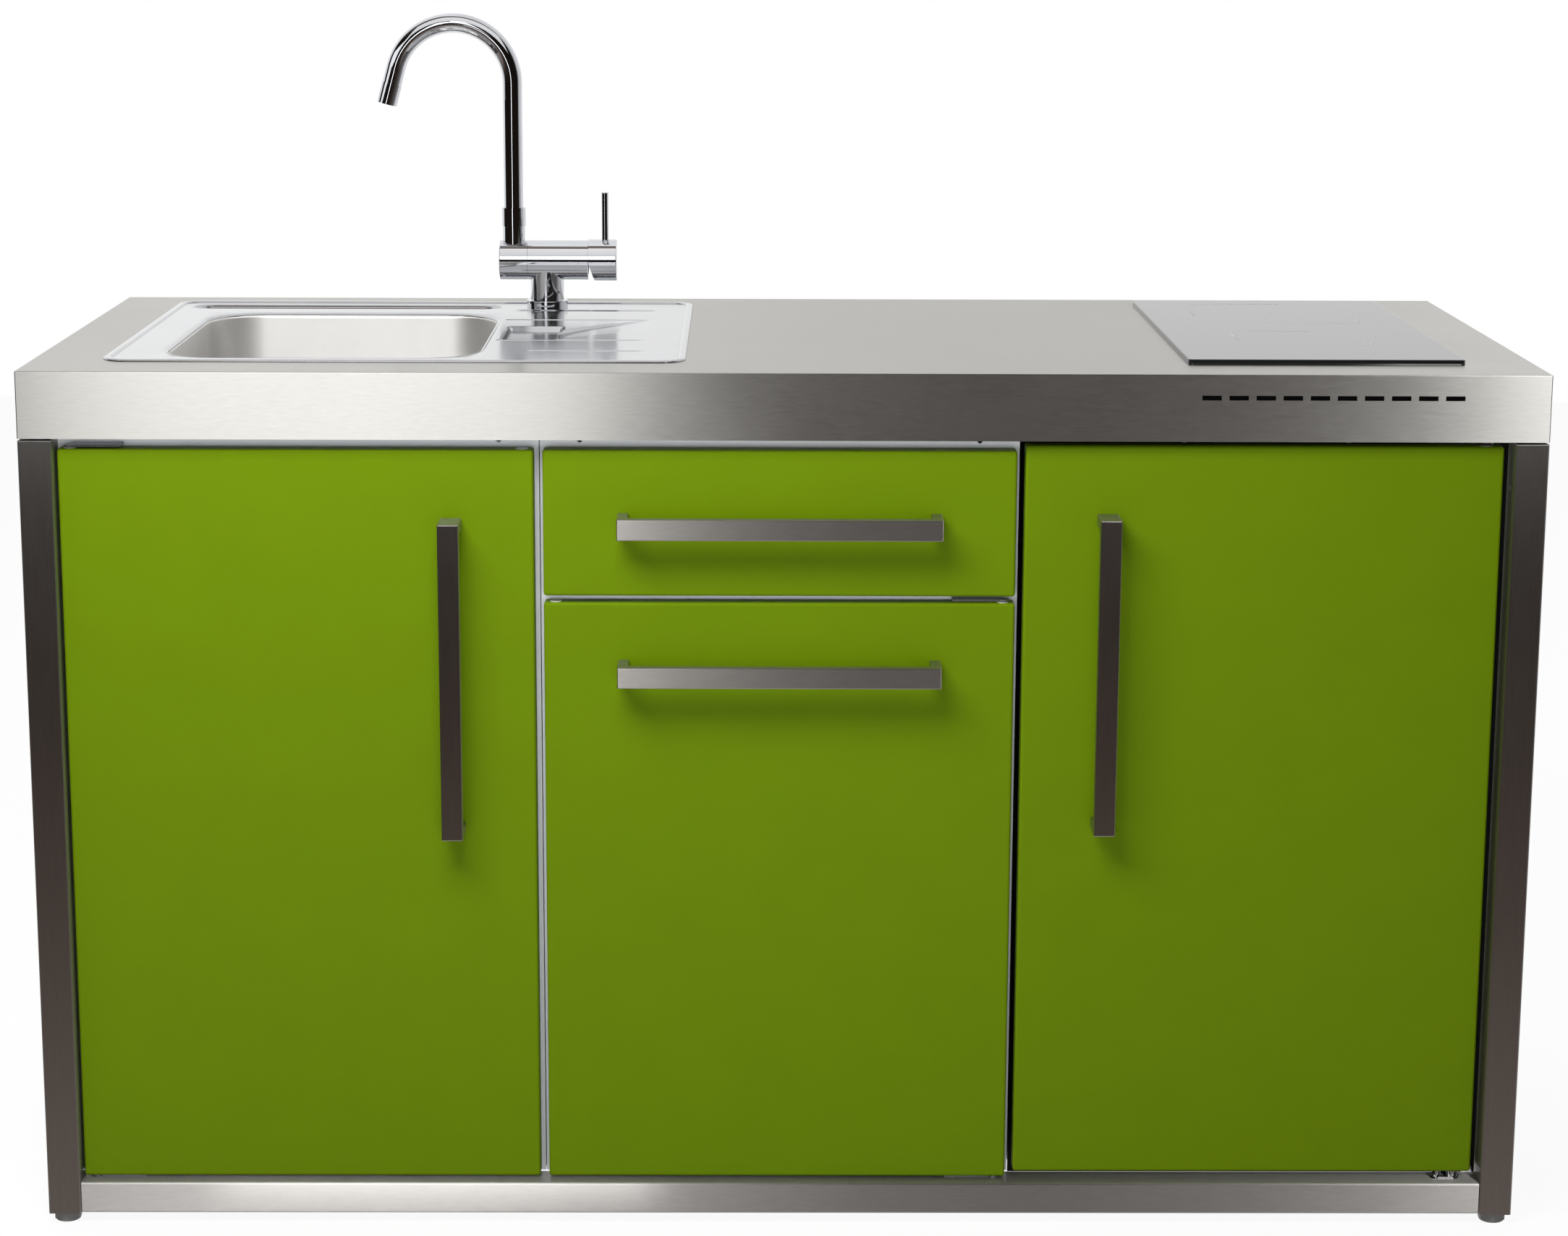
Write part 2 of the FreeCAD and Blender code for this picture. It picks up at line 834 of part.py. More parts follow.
def bush(x, z, side, pin_radius, outer, flange_radius):
    """Return a flanged bush whose body goes into the door from its edge at z."""
    body = rod(outer, V(x, pivot_y, z), V(x, pivot_y, z - side * bush_length))
    flange = rod(flange_radius, V(x, pivot_y, z), V(x, pivot_y, z + side * bush_flange))
    bore_end = z - side * (hinge_pin_length + overrun)
    bore = rod(pin_radius + running_gap, V(x, pivot_y, z + side * overrun), V(x, pivot_y, bore_end))
    return fuse([body, flange]).cut(bore)


def blank_plug(x, z, side):
    """Return the plug that closes the pivot hole that is not used."""
    body = rod(bush_radius, V(x, pivot_y, z), V(x, pivot_y, z - side * bush_length))
    flange = rod(bush_flange_radius, V(x, pivot_y, z), V(x, pivot_y, z + side * bush_flange))
    return fuse([body, flange])


def cabinet_door(name, x0, x1, z1, pivot_x, spare_x, handle_screws):
    """Return the nodes of a cabinet door apart from its handle."""
    z0 = front_bottom
    hole = bush_radius + snug_gap
    holes = bush_holes(pivot_x, z0, z1, hole) + bush_holes(spare_x, z0, z1, hole, low=False)
    bushes = [
        bush(pivot_x, z1, 1, hinge_pin_radius, bush_radius, bush_flange_radius),
        bush(pivot_x, z0, -1, hinge_pin_radius, bush_radius, bush_flange_radius),
        blank_plug(spare_x, z1, 1),
    ]
    return {
        name + "_skin": door_skin(x0, x1, z0, z1, holes + handle_screws),
        name + "_inner": door_pan(x0, x1, z0, z1, handle_screws),
        name + "_bushes": group(bushes),
    }


def hinge_set(pivot_x, side, top, top_back):
    """Return the upper arm and lower plate of a cabinet door with their pins."""
    far = pivot_x + side * (hinge_arm_length - bush_flange_radius)
    xs = sorted((pivot_x, far))
    solids = []
    upper = top + bush_flange + hinge_running_gap
    arm_y0 = pivot_y - bush_flange_radius / 2
    arm = box(xs[0], xs[1], arm_y0, top_back, upper, upper + hinge_plate)
    head = rod(bush_flange_radius, V(pivot_x, pivot_y, upper), V(pivot_x, pivot_y, upper + hinge_plate))
    pin_top = V(pivot_x, pivot_y, upper + hinge_plate)
    pin = rod(hinge_pin_radius, pin_top, V(pivot_x, pivot_y, top - hinge_pin_length))
    solids.append(fuse([arm, head, pin]))
    lower = rail_top + hinge_plate
    plate = box(xs[0], xs[1], arm_y0, arm_y0 + hinge_arm_depth, rail_top, lower)
    foot_head = rod(bush_flange_radius, V(pivot_x, pivot_y, rail_top), V(pivot_x, pivot_y, lower))
    pin_end = V(pivot_x, pivot_y, front_bottom + hinge_pin_length)
    foot_pin = rod(hinge_pin_radius, V(pivot_x, pivot_y, rail_top), pin_end)
    solids.append(fuse([plate, foot_head, foot_pin]))
    return solids


def cabinet_door_hinges():
    """Return the hinges of the sink cabinet's and the drawer cabinet's doors."""
    left = hinge_set(left_pivot_x, 1, front_top, carcass_y0)
    centre = hinge_set(centre_pivot_x, -1, centre_door_top, carcass_y0)
    return group(left + centre)


def handle_bar_shape():
    """Return a handle that runs along +X from the origin and stands on the plane y=0."""
    outer = box(0, handle_length, -handle_reach, 0, -handle_width / 2, handle_width / 2)
    outer = fillet(outer, handle_edge_radius, lambda b: b.YMax < -overrun or same(b.YLength, handle_reach))
    inside = box(
        handle_post, handle_length - handle_post, -(handle_reach - handle_bar), handle_inner_radius + overrun,
        -handle_width, handle_width,
    )
    inside = fillet(
        inside, handle_inner_radius,
        lambda b: same(b.ZLength, 2 * handle_width) and b.YMax < 0,
    )
    bore_depth = handle_screw_depth - door_sheet
    bores = [
        rod(handle_screw_radius + snug_gap, V(x, overrun, 0), V(x, -bore_depth - overrun, 0))
        for x in handle_screw_places()
    ]
    return cut(outer, [inside] + bores)


def handle_screw_places():
    """Return how far along the handle its two screws are."""
    return (handle_post / 2, handle_length - handle_post / 2)


def handle_screw_shapes(clearance):
    """Return the two screws of the bar handle, from inside the door, as bodies or as cutters."""
    solids = []
    for x in handle_screw_places():
        inside = V(x, door_sheet, 0)
        shank = rod(handle_screw_radius + clearance, inside, V(x, door_sheet - handle_screw_depth, 0))
        head = rod(handle_screw_head + clearance, inside, inside + V(0, handle_screw_head / 2 + clearance, 0))
        solids.append(fuse([shank, head]))
    return solids


def placed_handle(shapes, x, z, upright):
    """Place shapes of the bar handle with its start at x, z on the door's front."""
    result = []
    for shape in shapes:
        if upright:
            shape = turned(shape, V(0, 0, 0), V(0, 1, 0), 90)
        result.append(moved(shape, V(x, door_y0, z)))
    return result


def handle_place(name):
    """Return start x, start z and direction of a handle by name."""
    middle_x = (centre_door_x[0] + centre_door_x[1]) / 2 - handle_length / 2
    places = {
        "left_door": (left_door_x[1] - handle_from_edge, front_top - handle_from_top, True),
        "centre_door": (middle_x, centre_door_top - handle_from_top, False),
        "drawer": (middle_x, (drawer_bottom + front_top) / 2, False),
        "fridge_door": (fridge_door_x0 + handle_from_edge, fridge_door_top - handle_from_top, True),
    }
    return places[name]


def handle(name):
    """Return a handle with its two screws, each a solid of its own."""
    place = handle_place(name)
    bar = placed_handle([handle_bar_shape()], *place)
    return group(bar + placed_handle(handle_screw_shapes(0), *place))


def handle_cutters(name):
    """Return the clearance holes that a handle's screws need."""
    return placed_handle(handle_screw_shapes(snug_gap), *handle_place(name))


def runner_planes():
    """Return for each side of the drawer the runner's outer plane and inward direction."""
    inset = carcass_gap + carcass_flange + seat_gap
    return [(centre_x0 + inset, 1), (fridge_niche_x0 - inset, -1)]


def channel(x, side, depth, y0, y1, z0, z1, sheet, wall_outside=True):
    """Return a C channel along Y: its wall is outside or inside, its lips point across."""
    xs = sorted((x, x + side * depth))
    bar = box(xs[0], xs[1], y0, y1, z0, z1)
    if wall_outside:
        inner = sorted((x + side * sheet, x + side * (depth + overrun)))
    else:
        inner = sorted((x - side * overrun, x + side * (depth - sheet)))
    hollow = box(inner[0], inner[1], y0 - overrun, y1 + overrun, z0 + sheet, z1 - sheet)
    return bar.cut(hollow)


def runner_span():
    """Return the runners' start, end, bottom and top."""
    y0 = carcass_y0 + carcass_sheet + runner_setback
    z0 = drawer_bottom + drawer_box_raise + runner_height / 4
    return y0, carcass_y1 - runner_rear, z0, z0 + runner_height


def runner_cabinet_members():
    """Return the fixed runner members, each on two spacer blocks."""
    y0, y1, z0, z1 = runner_span()
    solids = []
    for x, side in runner_planes():
        member = channel(x, side, runner_thickness, y0, y1, z0, z1, runner_sheet)
        wall = x - side * (carcass_flange + seat_gap - carcass_sheet)
        pieces = [member]
        for share in runner_spacer_places_shares:
            a = y0 + (y1 - y0) * share
            xs = sorted((wall, x))
            pieces.append(box(xs[0], xs[1], a, a + runner_height, z0, z1))
        solids.append(fuse(pieces))
    return group(solids)


def runner_middle_members():
    """Return the middle runner members, which ride inside the fixed ones."""
    y0, y1, z0, z1 = runner_span()
    inset = runner_sheet + runner_play
    solids = []
    for x, side in runner_planes():
        start = x + side * inset
        depth = runner_thickness - inset - runner_play
        solids.append(channel(start, side, depth, y0, y1, z0 + inset, z1 - inset, runner_sheet))
    return group(solids)


def runner_drawer_members():
    """Return the inner runner members, fixed to the drawer's sides."""
    y0, y1, z0, z1 = runner_span()
    inset = 2 * (runner_sheet + runner_play)
    solids = []
    for x, side in runner_planes():
        start = x + side * inset
        depth = runner_thickness + seat_gap - inset
        solids.append(channel(start, side, depth, y0, y1, z0 + inset, z1 - inset, runner_sheet, False))
    return group(solids)


def drawer_box():
    """Return the drawer's open box, which hangs between the runners."""
    planes = runner_planes()
    a = planes[0][0] + runner_thickness + seat_gap
    b = planes[1][0] - runner_thickness - seat_gap
    z0 = drawer_bottom + drawer_box_raise
    z1 = z0 + drawer_box_height
    y1 = carcass_y1 - drawer_rear
    s = drawer_sheet
    tray = box(a, b, door_y1, y1, z0, z1)
    return tray.cut(box(a + s, b - s, door_y1 + s, y1 - s, z0 + s, z1 + overrun))


def drawer_front():
    """Return the drawer's front with its inner sheet folded in one."""
    x0, x1 = centre_door_x
    skin = door_skin(x0, x1, drawer_bottom, front_top, handle_cutters("drawer"))
    s = door_sheet
    back = box(x0 + s, x1 - s, door_y1 - inner_pan_sheet, door_y1, drawer_bottom + s, front_top - s)
    return fuse([skin, back])


def sink_bead():
    """Return the raised bead that runs round the sink."""
    top = unit_height + sink_bead_height
    outer = rounded_plate(sink_x0, sink_x1, sink_y0, sink_y1, unit_height, top, sink_corner)
    w = sink_bead_width
    inner = rounded_plate(
        sink_x0 + w, sink_x1 - w, sink_y0 + w, sink_y1 - w,
        unit_height - overrun, top + overrun, sink_corner - w,
    )
    ring = outer.cut(inner)
    return fillet(ring, sink_bead_radius, lambda b: same(b.ZMin, top))


def recess(x0, x1, y0, y1, depth, radius):
    """Return the outer and the inner block of a pressed recess in the deck."""
    s = sink_sheet
    outer = rounded_plate(x0, x1, y0, y1, deck_top - depth - s, deck_top, radius)
    inner = rounded_plate(
        x0 + s, x1 - s, y0 + s, y1 - s, deck_top - depth, deck_top + overrun, radius - s,
    )
    return outer, inner


def bowl_blocks():
    """Return the outer and the inner block of the bowl, with a rounded floor."""
    s = sink_sheet
    outer = rounded_plate(bowl_x0, bowl_x1, bowl_y0, bowl_y1, bowl_bottom, deck_top, bowl_corner)
    outer = fillet(outer, bowl_floor_radius, lambda b: same(b.ZMax, bowl_bottom))
    inner = rounded_plate(
        bowl_x0 + s, bowl_x1 - s, bowl_y0 + s, bowl_y1 - s,
        bowl_bottom + s, deck_top + overrun, bowl_corner - s,
    )
    inner = fillet(inner, bowl_floor_radius - s, lambda b: same(b.ZMax, bowl_bottom + s))
    return outer, inner


def drainer_ribs():
    """Return the round-backed ribs of the draining board."""
    x0 = sink_x0 + rib_left
    first = sink_y0 + rib_front
    pitch = (sink_y1 - rib_rear - first) / (rib_count - 1)
    solids = []
    for i in range(rib_count):
        y = first + pitch * i
        if sink_y0 + well_front < y < sink_y0 + well_front + well_depth:
            start = sink_x0 + well_left + well_width + rib_width
        else:
            start = x0
        if abs(y - tap_y) < tap_ring_radius + rib_width:
            continue
        rib = rod(rib_height, V(start, y, deck_top), V(x0 + rib_length, y, deck_top))
        solids.append(rib)
    return solids


def drain_well():
    """Return the outer and the inner block of the tapered well beside the bowl."""
    x0 = sink_x0 + well_left
    y0 = sink_y0 + well_front
    slant = well_depth * well_narrowing_share
    s = sink_sheet
    bottom = deck_top - well_sink
    blocks = []
    for inset, z0, z1 in ((0, bottom - s, deck_top), (s, bottom, deck_top + overrun)):
        points = [
            V(x0 + inset, y0 + inset, z0),
            V(x0 + well_width - inset, y0 + slant + inset, z0),
            V(x0 + well_width - inset, y0 + well_depth - slant - inset, z0),
            V(x0 + inset, y0 + well_depth - inset, z0),
        ]
        blocks.append(prism(points, UP * (z1 - z0)))
    return blocks


def sink():
    """Return the pressed sink with its bowl, ledge groove, well and ribs."""
    deck = rounded_plate(sink_x0, sink_x1, sink_y0, sink_y1, unit_height, deck_top, sink_corner)
    bowl_outer, bowl_inner = bowl_blocks()
    groove_x0 = sink_x0 + ledge_groove_left
    groove_y1 = sink_y1 - ledge_groove_rear
    groove_outer, groove_inner = recess(
        groove_x0, groove_x0 + ledge_groove_width, groove_y1 - ledge_groove_depth, groove_y1,
        groove_sink, ledge_groove_depth / 2 - running_gap,
    )
    well_outer, well_inner = drain_well()
    shape = fuse([deck, sink_bead(), bowl_outer, groove_outer, well_outer] + drainer_ribs())
    drain = rod(
        drain_radius, V(drain_x, drain_y, bowl_bottom - overrun),
        V(drain_x, drain_y, bowl_bottom + bowl_height),
    )
    tap_hole = rod(
        tap_shank_radius + seat_gap, V(tap_x, tap_y, unit_height - overrun),
        V(tap_x, tap_y, deck_top + overrun),
    )
    slot_x = sink_x0 + well_left + well_width / 2
    slot_y = sink_y0 + well_front + well_depth / 2
    bottom = deck_top - well_sink
    overflow = rounded_plate(
        slot_x - overflow_width / 2, slot_x + overflow_width / 2,
        slot_y - overflow_length / 2, slot_y + overflow_length / 2,
        bottom - sink_sheet - overrun, bottom + overrun, overflow_width / 2 - running_gap,
    )
    return cut(shape, [bowl_inner, groove_inner, well_inner, drain, tap_hole, overflow])


def sink_waste():
    """Return the basket waste that is clamped in the bowl's floor."""
    floor = bowl_bottom + sink_sheet
    centre = V(drain_x, drain_y, 0)
    flange = rod(waste_flange_radius, centre + UP * floor, centre + UP * (floor + waste_flange))
    cup = rod(waste_cup_radius, centre + UP * waste_bottom, centre + UP * (floor + waste_flange))
    ring = rod(
        waste_flange_radius, centre + UP * (bowl_bottom - waste_sheet), centre + UP * bowl_bottom,
    )
    hollow = rod(
        waste_cup_radius - waste_sheet, centre + UP * (waste_bottom + waste_sheet),
        centre + UP * (floor + waste_flange + overrun),
    )
    outlet = rod(
        trap_pipe_radius - trap_pipe_wall, centre + UP * (waste_bottom - overrun),
        centre + UP * (waste_bottom + waste_sheet + overrun),
    )
    return cut(fuse([flange, cup, ring]), [hollow, outlet])


def sink_strainer():
    """Return the lift-out basket strainer with its knob."""
    centre = V(drain_x, drain_y, 0)
    top = bowl_bottom + sink_sheet + waste_flange + seat_gap
    s = waste_sheet
    rim_radius = waste_cup_radius
    bottom = top - strainer_height
    rim = rod(rim_radius, centre + UP * top, centre + UP * (top + s))
    cup = rod(strainer_radius, centre + UP * bottom, centre + UP * (top + s))
    hollow = rod(strainer_radius - s, centre + UP * (bottom + s), centre + UP * (top + s + overrun))
    basket = fuse([rim, cup]).cut(hollow)
    knob = rod(strainer_knob_radius, centre + UP * bottom, centre + UP * (bottom + strainer_knob_height))
    holes = []
    ring = (strainer_radius + strainer_knob_radius) / 2
    for i in range(strainer_hole_count):
        angle = math.tau * i / strainer_hole_count
        spot = centre + V(ring * math.cos(angle), ring * math.sin(angle), 0)
        hole_top = spot + UP * (bottom + s + overrun)
        holes.append(rod(strainer_hole_radius, spot + UP * (bottom - overrun), hole_top))
    return cut(fuse([basket, knob]), holes)


def waste_trap():
    """Return the bottle trap and its outlet, which leaves through the cabinet's back."""
    centre = V(drain_x, drain_y, 0)
    bottle_top = waste_bottom - trap_drop
    bottle_bottom = bottle_top - trap_bottle_height
    outlet_z = bottle_top - trap_outlet_drop
    end = V(drain_x, y_back - trap_outlet_end, outlet_z)
    inlet = rod(trap_pipe_radius, centre + UP * (bottle_top - overrun), centre + UP * waste_bottom)
    bottle = rod(trap_bottle_radius, centre + UP * bottle_bottom, centre + UP * bottle_top)
    outlet = rod(trap_pipe_radius, V(drain_x, drain_y, outlet_z), end)
    ring_end = end - V(0, trap_spigot_length, 0)
    ring = rod(trap_ring_radius, ring_end - V(0, trap_ring_width, 0), ring_end)
    bore = trap_pipe_radius - trap_pipe_wall
    start = V(drain_x, drain_y + trap_bottle_radius - overrun, outlet_z)
    hollows = [
        rod(trap_bottle_radius - trap_pipe_wall, centre + UP * (bottle_bottom + trap_pipe_wall),
            centre + UP * (bottle_top - trap_pipe_wall)),
        rod(bore, centre + UP * (bottle_top - trap_pipe_wall - overrun),
            centre + UP * (waste_bottom + overrun)),
        rod(bore, start - V(0, trap_pipe_wall, 0), end + V(0, overrun, 0)),
    ]
    return cut(fuse([inlet, bottle, outlet, ring]), hollows)


def tap_base():
    """Return the base ring of the tap."""
    centre = V(tap_x, tap_y, 0)
    ring = tube(
        tap_ring_radius, tap_shank_radius + running_gap,
        centre + UP * deck_top, centre + UP * (deck_top + tap_ring_height),
    )
    top = deck_top + tap_ring_height
    return fillet(ring, tap_edge_radius, lambda b: same(b.ZMin, top) and b.XLength > 2 * tap_pedestal_radius)


def tap_fixing():
    """Return the shank, washer, nut and the two inlet tails below the ledge."""
    centre = V(tap_x, tap_y, 0)
    shank = rod(
        tap_shank_radius, centre + UP * (deck_top + tap_ring_height),
        centre + UP * (deck_top - tap_shank_length),
    )
    washer = rod(tap_nut_radius, centre + UP * (unit_height - tap_washer), centre + UP * unit_height)
    nut = rod(
        tap_nut_radius - tap_washer, centre + UP * (unit_height - tap_washer - tap_nut_height),
        centre + UP * (unit_height - tap_washer),
    )
    pieces = [shank, washer, nut]
    for side in (-1, 1):
        spot = centre + V(-tap_tail_radius, side * tap_shank_radius / 2, 0)
        top = deck_top - tap_shank_length
        pieces.append(rod(tap_tail_radius, spot + UP * (top - tap_tail_length), spot + UP * (top + overrun)))
    return fuse(pieces)


def tap_body():
    """Return the pedestal and the fixed middle of the horizontal body."""
    centre = V(tap_x, tap_y, 0)
    pedestal = rod(
        tap_pedestal_radius, centre + UP * (deck_top + tap_ring_height), centre + UP * tap_axis_z,
    )
    barrel = rod(tap_body_radius, V(body_x0, tap_y, tap_axis_z), V(body_x1, tap_y, tap_axis_z))
    bore = rod(
        cartridge_radius + running_gap, V(body_x1 - cartridge_length - overrun, tap_y, tap_axis_z),
        V(body_x1 + overrun, tap_y, tap_axis_z),
    )
    pivot_bore = rod(
        socket_collar_radius + running_gap, V(body_x0 - overrun, tap_y, tap_axis_z),
        V(body_x0 + tap_body_left / 2, tap_y, tap_axis_z),
    )
    return cut(fuse([pedestal, barrel]), [bore, pivot_bore])


def spout_socket():
    """Return the end piece that turns on the body's axis and carries the spout."""
    barrel = rod(tap_body_radius, V(socket_x0, tap_y, tap_axis_z), V(socket_x1, tap_y, tap_axis_z))
    barrel = fillet(barrel, tap_edge_radius, lambda b: same(b.XMax, socket_x0))
    collar = rod(socket_collar_radius, V(spout_x, tap_y, tap_axis_z), V(spout_x, tap_y, collar_top))
    journal = rod(
        socket_collar_radius, V(socket_x1 - overrun, tap_y, tap_axis_z),
        V(body_x0 + tap_body_left / 2 - seat_gap, tap_y, tap_axis_z),
    )
    bore = rod(
        spigot_radius + running_gap, V(spout_x, tap_y, collar_top - spigot_length - seat_gap),
        V(spout_x, tap_y, collar_top + overrun),
    )
    return fuse([barrel, collar, journal]).cut(bore)


def spout_path():
    """Return the spout's centre line from the collar to the tail, and its end point and direction."""
    start = V(spout_x, tap_y, collar_top + tap_joint_gap + spout_collar_height)
    top = V(spout_x, tap_y, tap_axis_z + spout_rise)
    centre = top - V(spout_bend_radius, 0, 0)

    def on_arc(angle):
        turn = math.radians(angle)
        return centre + V(math.cos(turn), 0, math.sin(turn)) * spout_bend_radius

    end_turn = math.radians(spout_bend_angle)
    end = on_arc(spout_bend_angle)
    heading = V(-math.sin(end_turn), 0, math.cos(end_turn))
    tail = end + heading * spout_tail
    edges = [
        Part.LineSegment(start, top).toShape(),
        Part.Arc(top, on_arc(spout_bend_angle / 2), end).toShape(),
        Part.LineSegment(end, tail).toShape(),
    ]
    return Part.Wire(edges), start, tail, heading


def spout():
    """Return the bent spout with its collar and the spigot in the socket."""
    path, start, tail, heading = spout_path()
    outer = Part.Wire(Part.makeCircle(spout_radius, start, UP))
    inner = Part.Wire(Part.makeCircle(spout_radius - spout_wall, start, UP))
    bent = path.makePipeShell([outer], True, False).cut(path.makePipeShell([inner], True, False))
    bottom = collar_top + tap_joint_gap
    collar = rod(spout_collar_radius, V(spout_x, tap_y, bottom), start)
    spigot = rod(
        spigot_radius, V(spout_x, tap_y, collar_top - spigot_length), V(spout_x, tap_y, bottom + overrun),
    )
    bore = rod(
        spigot_radius - spout_wall, V(spout_x, tap_y, collar_top - spigot_length - overrun),
        start + UP * overrun,
    )
    return fuse([bent, fuse([collar, spigot]).cut(bore)])


def aerator():
    """Return the aerator on the spout's end, with its stepped bore."""
    path, start, tail, heading = spout_path()
    end = tail + heading * aerator_length
    shell = rod(aerator_radius, tail, end)
    screen = (aerator_length - spout_wall) / 2
    mouth = rod(spout_radius - spout_wall, tail + heading * screen, end + heading * overrun)
    return shell.cut(mouth)


def mixer_cartridge():
    """Return the cartridge in the body, with the stem that carries the cap."""
    start = V(body_x1 - cartridge_length, tap_y, tap_axis_z)
    face = V(body_x1 - seat_gap, tap_y, tap_axis_z)
    stem_end = V(cap_x0 + cartridge_stem_length, tap_y, tap_axis_z)
    return fuse([rod(cartridge_radius, start, face), rod(cartridge_stem_radius, start, stem_end)])


def mixer_cap():
    """Return the hollow cap, relieved below so that it can tilt."""
    barrel = rod(cap_radius, V(cap_x0, tap_y, tap_axis_z), V(cap_x1, tap_y, tap_axis_z))
    barrel = fillet(barrel, tap_edge_radius, lambda b: same(b.XMin, cap_x1))
    hollow = rod(
        cap_radius - cap_wall, V(cap_x0 - overrun, tap_y, tap_axis_z),
        V(cap_x1 - cap_wall, tap_y, tap_axis_z),
    )
    drop = cap_radius + overrun
    run = drop * math.tan(math.radians(cap_tilt)) + overrun
    wedge = prism([
        V(cap_x0, tap_y - drop, tap_axis_z),
        V(cap_x0 - overrun, tap_y - drop, tap_axis_z),
        V(cap_x0 - overrun, tap_y - drop, tap_axis_z - drop),
        V(cap_x0 + run, tap_y - drop, tap_axis_z - drop),
    ], V(0, 2 * drop, 0))
    seat = rod(lever_radius, V(lever_x, tap_y, tap_axis_z), V(lever_x, tap_y, tap_axis_z + drop))
    return cut(barrel, [hollow, wedge, seat])


def mixer_lever():
    """Return the lever pin that stands in the cap."""
    foot_z = tap_axis_z + cap_radius - cap_wall
    pin = rod(lever_radius, V(lever_x, tap_y, foot_z), V(lever_x, tap_y, tap_axis_z + lever_rise))
    return fillet(pin, tap_edge_radius, lambda b: same(b.ZMin, tap_axis_z + lever_rise))


def hob_glass_plate():
    """Return the glass top of the hob."""
    top = unit_height + hob_glass
    plate = rounded_plate(hob_x0, hob_x1, hob_y0, hob_y1, unit_height, top, hob_corner)
    return fillet(plate, hob_edge_radius, lambda b: same(b.ZMin, top))


def hob_case():
    """Return the sheet case below the glass, which hangs in the worktop's cut-out."""
    i = hob_case_inset
    s = hob_case_sheet
    bottom = unit_height - hob_case_height
    case = box(hob_x0 + i, hob_x1 - i, hob_y0 + i, hob_y1 - i, bottom, unit_height)
    hollow = box(
        hob_x0 + i + s, hob_x1 - i - s, hob_y0 + i + s, hob_y1 - i - s, bottom + s, unit_height + overrun,
    )
    return case.cut(hollow)


def hob_coils():
    """Return the two induction coils, each on a post of the case."""
    x = (hob_x0 + hob_x1) / 2
    bottom = unit_height - hob_case_height + hob_case_sheet
    solids = []
    for size, place in zip(coil_radii_share, coil_places_share):
        y = hob_y0 + (hob_y1 - hob_y0) * place
        radius = hob_width * size
        top = V(x, y, unit_height)
        disc = tube(radius, radius * coil_hole_share, top - UP * coil_thickness, top)
        carrier = rod(radius, top - UP * (coil_thickness + worktop_sheet), top - UP * coil_thickness)
        post = rod(radius * coil_hole_share, V(x, y, bottom), top - UP * coil_thickness)
        solids.append(fuse([disc, carrier, post]))
    return group(solids)


def fridge_block(inset):
    """Return the fridge's outer form with the machine niche, drawn in by an inset."""
    body = box(
        fridge_x0 + inset, fridge_x1 - inset, fridge_y0 + inset, fridge_y1 - inset,
        rail_top + inset, fridge_top - inset,
    )
    niche = box(
        fridge_x0 - overrun, fridge_x1 + overrun, fridge_y1 - machine_depth - inset, fridge_y1 + overrun,
        rail_top - overrun, rail_top + machine_height + inset,
    )
    return body.cut(niche)


def cabin(inset, front):
    """Return the stepped block of the cold space, grown by an inset, from a front plane."""
    body = box(
        liner_x0 - inset, liner_x1 + inset, front, liner_y1 + inset, liner_bottom - inset, liner_top + inset,
    )
    step = box(
        liner_x0 - inset - overrun, liner_x1 + inset + overrun, step_y + inset, liner_y1 + inset + overrun,
        liner_bottom - inset - overrun, step_z - inset,
    )
    return body.cut(step)


def fridge_casing():
    """Return the dark casing of the fridge: a front flange round the liner's mouth, and two cover strips.

    The strips close the gaps that would show beside the door and under it.
    """
    s = fridge_sheet
    mouth = box(
        liner_x0, liner_x1, fridge_y0 - overrun, fridge_y0 + s + overrun, liner_bottom, liner_top,
    )
    side_cover = box(
        fridge_x1 - s, fridge_x1 + fridge_side_cover, fridge_y0, fridge_y0 + s, rail_top, fridge_top,
    )
    lower_cover = box(
        fridge_x0, fridge_x1, fridge_y0, fridge_y0 + s, rail_top - fridge_lower_cover, rail_top + s,
    )
    return fuse([cut(fridge_block(0), [fridge_block(s), mouth]), side_cover, lower_cover])


def fridge_liner():
    """Return the moulded liner with the front frame that closes the insulated wall."""
    s = liner_sheet
    shell = cabin(s, liner_y0).cut(cabin(0, liner_y0 - overrun))
    inset = fridge_sheet + snug_gap
    frame = box(
        fridge_x0 + inset, fridge_x1 - inset, liner_y0, liner_y0 + s, rail_top + inset, fridge_top - inset,
    )
    frame = frame.cut(box(
        liner_x0, liner_x1, liner_y0 - overrun, liner_y0 + s + overrun, liner_bottom, liner_top,
    ))
    return fuse([shell, frame])


def knob_place():
    """Return the point on the liner's right wall where the thermostat's axis comes out."""
    z = liner_bottom + (liner_top - liner_bottom) * knob_height_share
    return V(liner_x1, fridge_y0 + 2 * fridge_shelf_setback, z)


def fridge_evaporator():
    """Return the ice box, an open aluminium box under the liner's ceiling."""
    s = ice_box_sheet
    wall = fridge_wall
    y1 = liner_y1 - seat_gap
    y0 = y1 - ice_box_depth
    a, b = liner_x0 + wall, liner_x1 - wall
    z1 = liner_top - seat_gap
    shell = box(a, b, y0, y1, z1 - ice_box_height, z1)
    return shell.cut(box(a + s, b - s, y0 - overrun, y1 - s, z1 - ice_box_height + s, z1 - s))


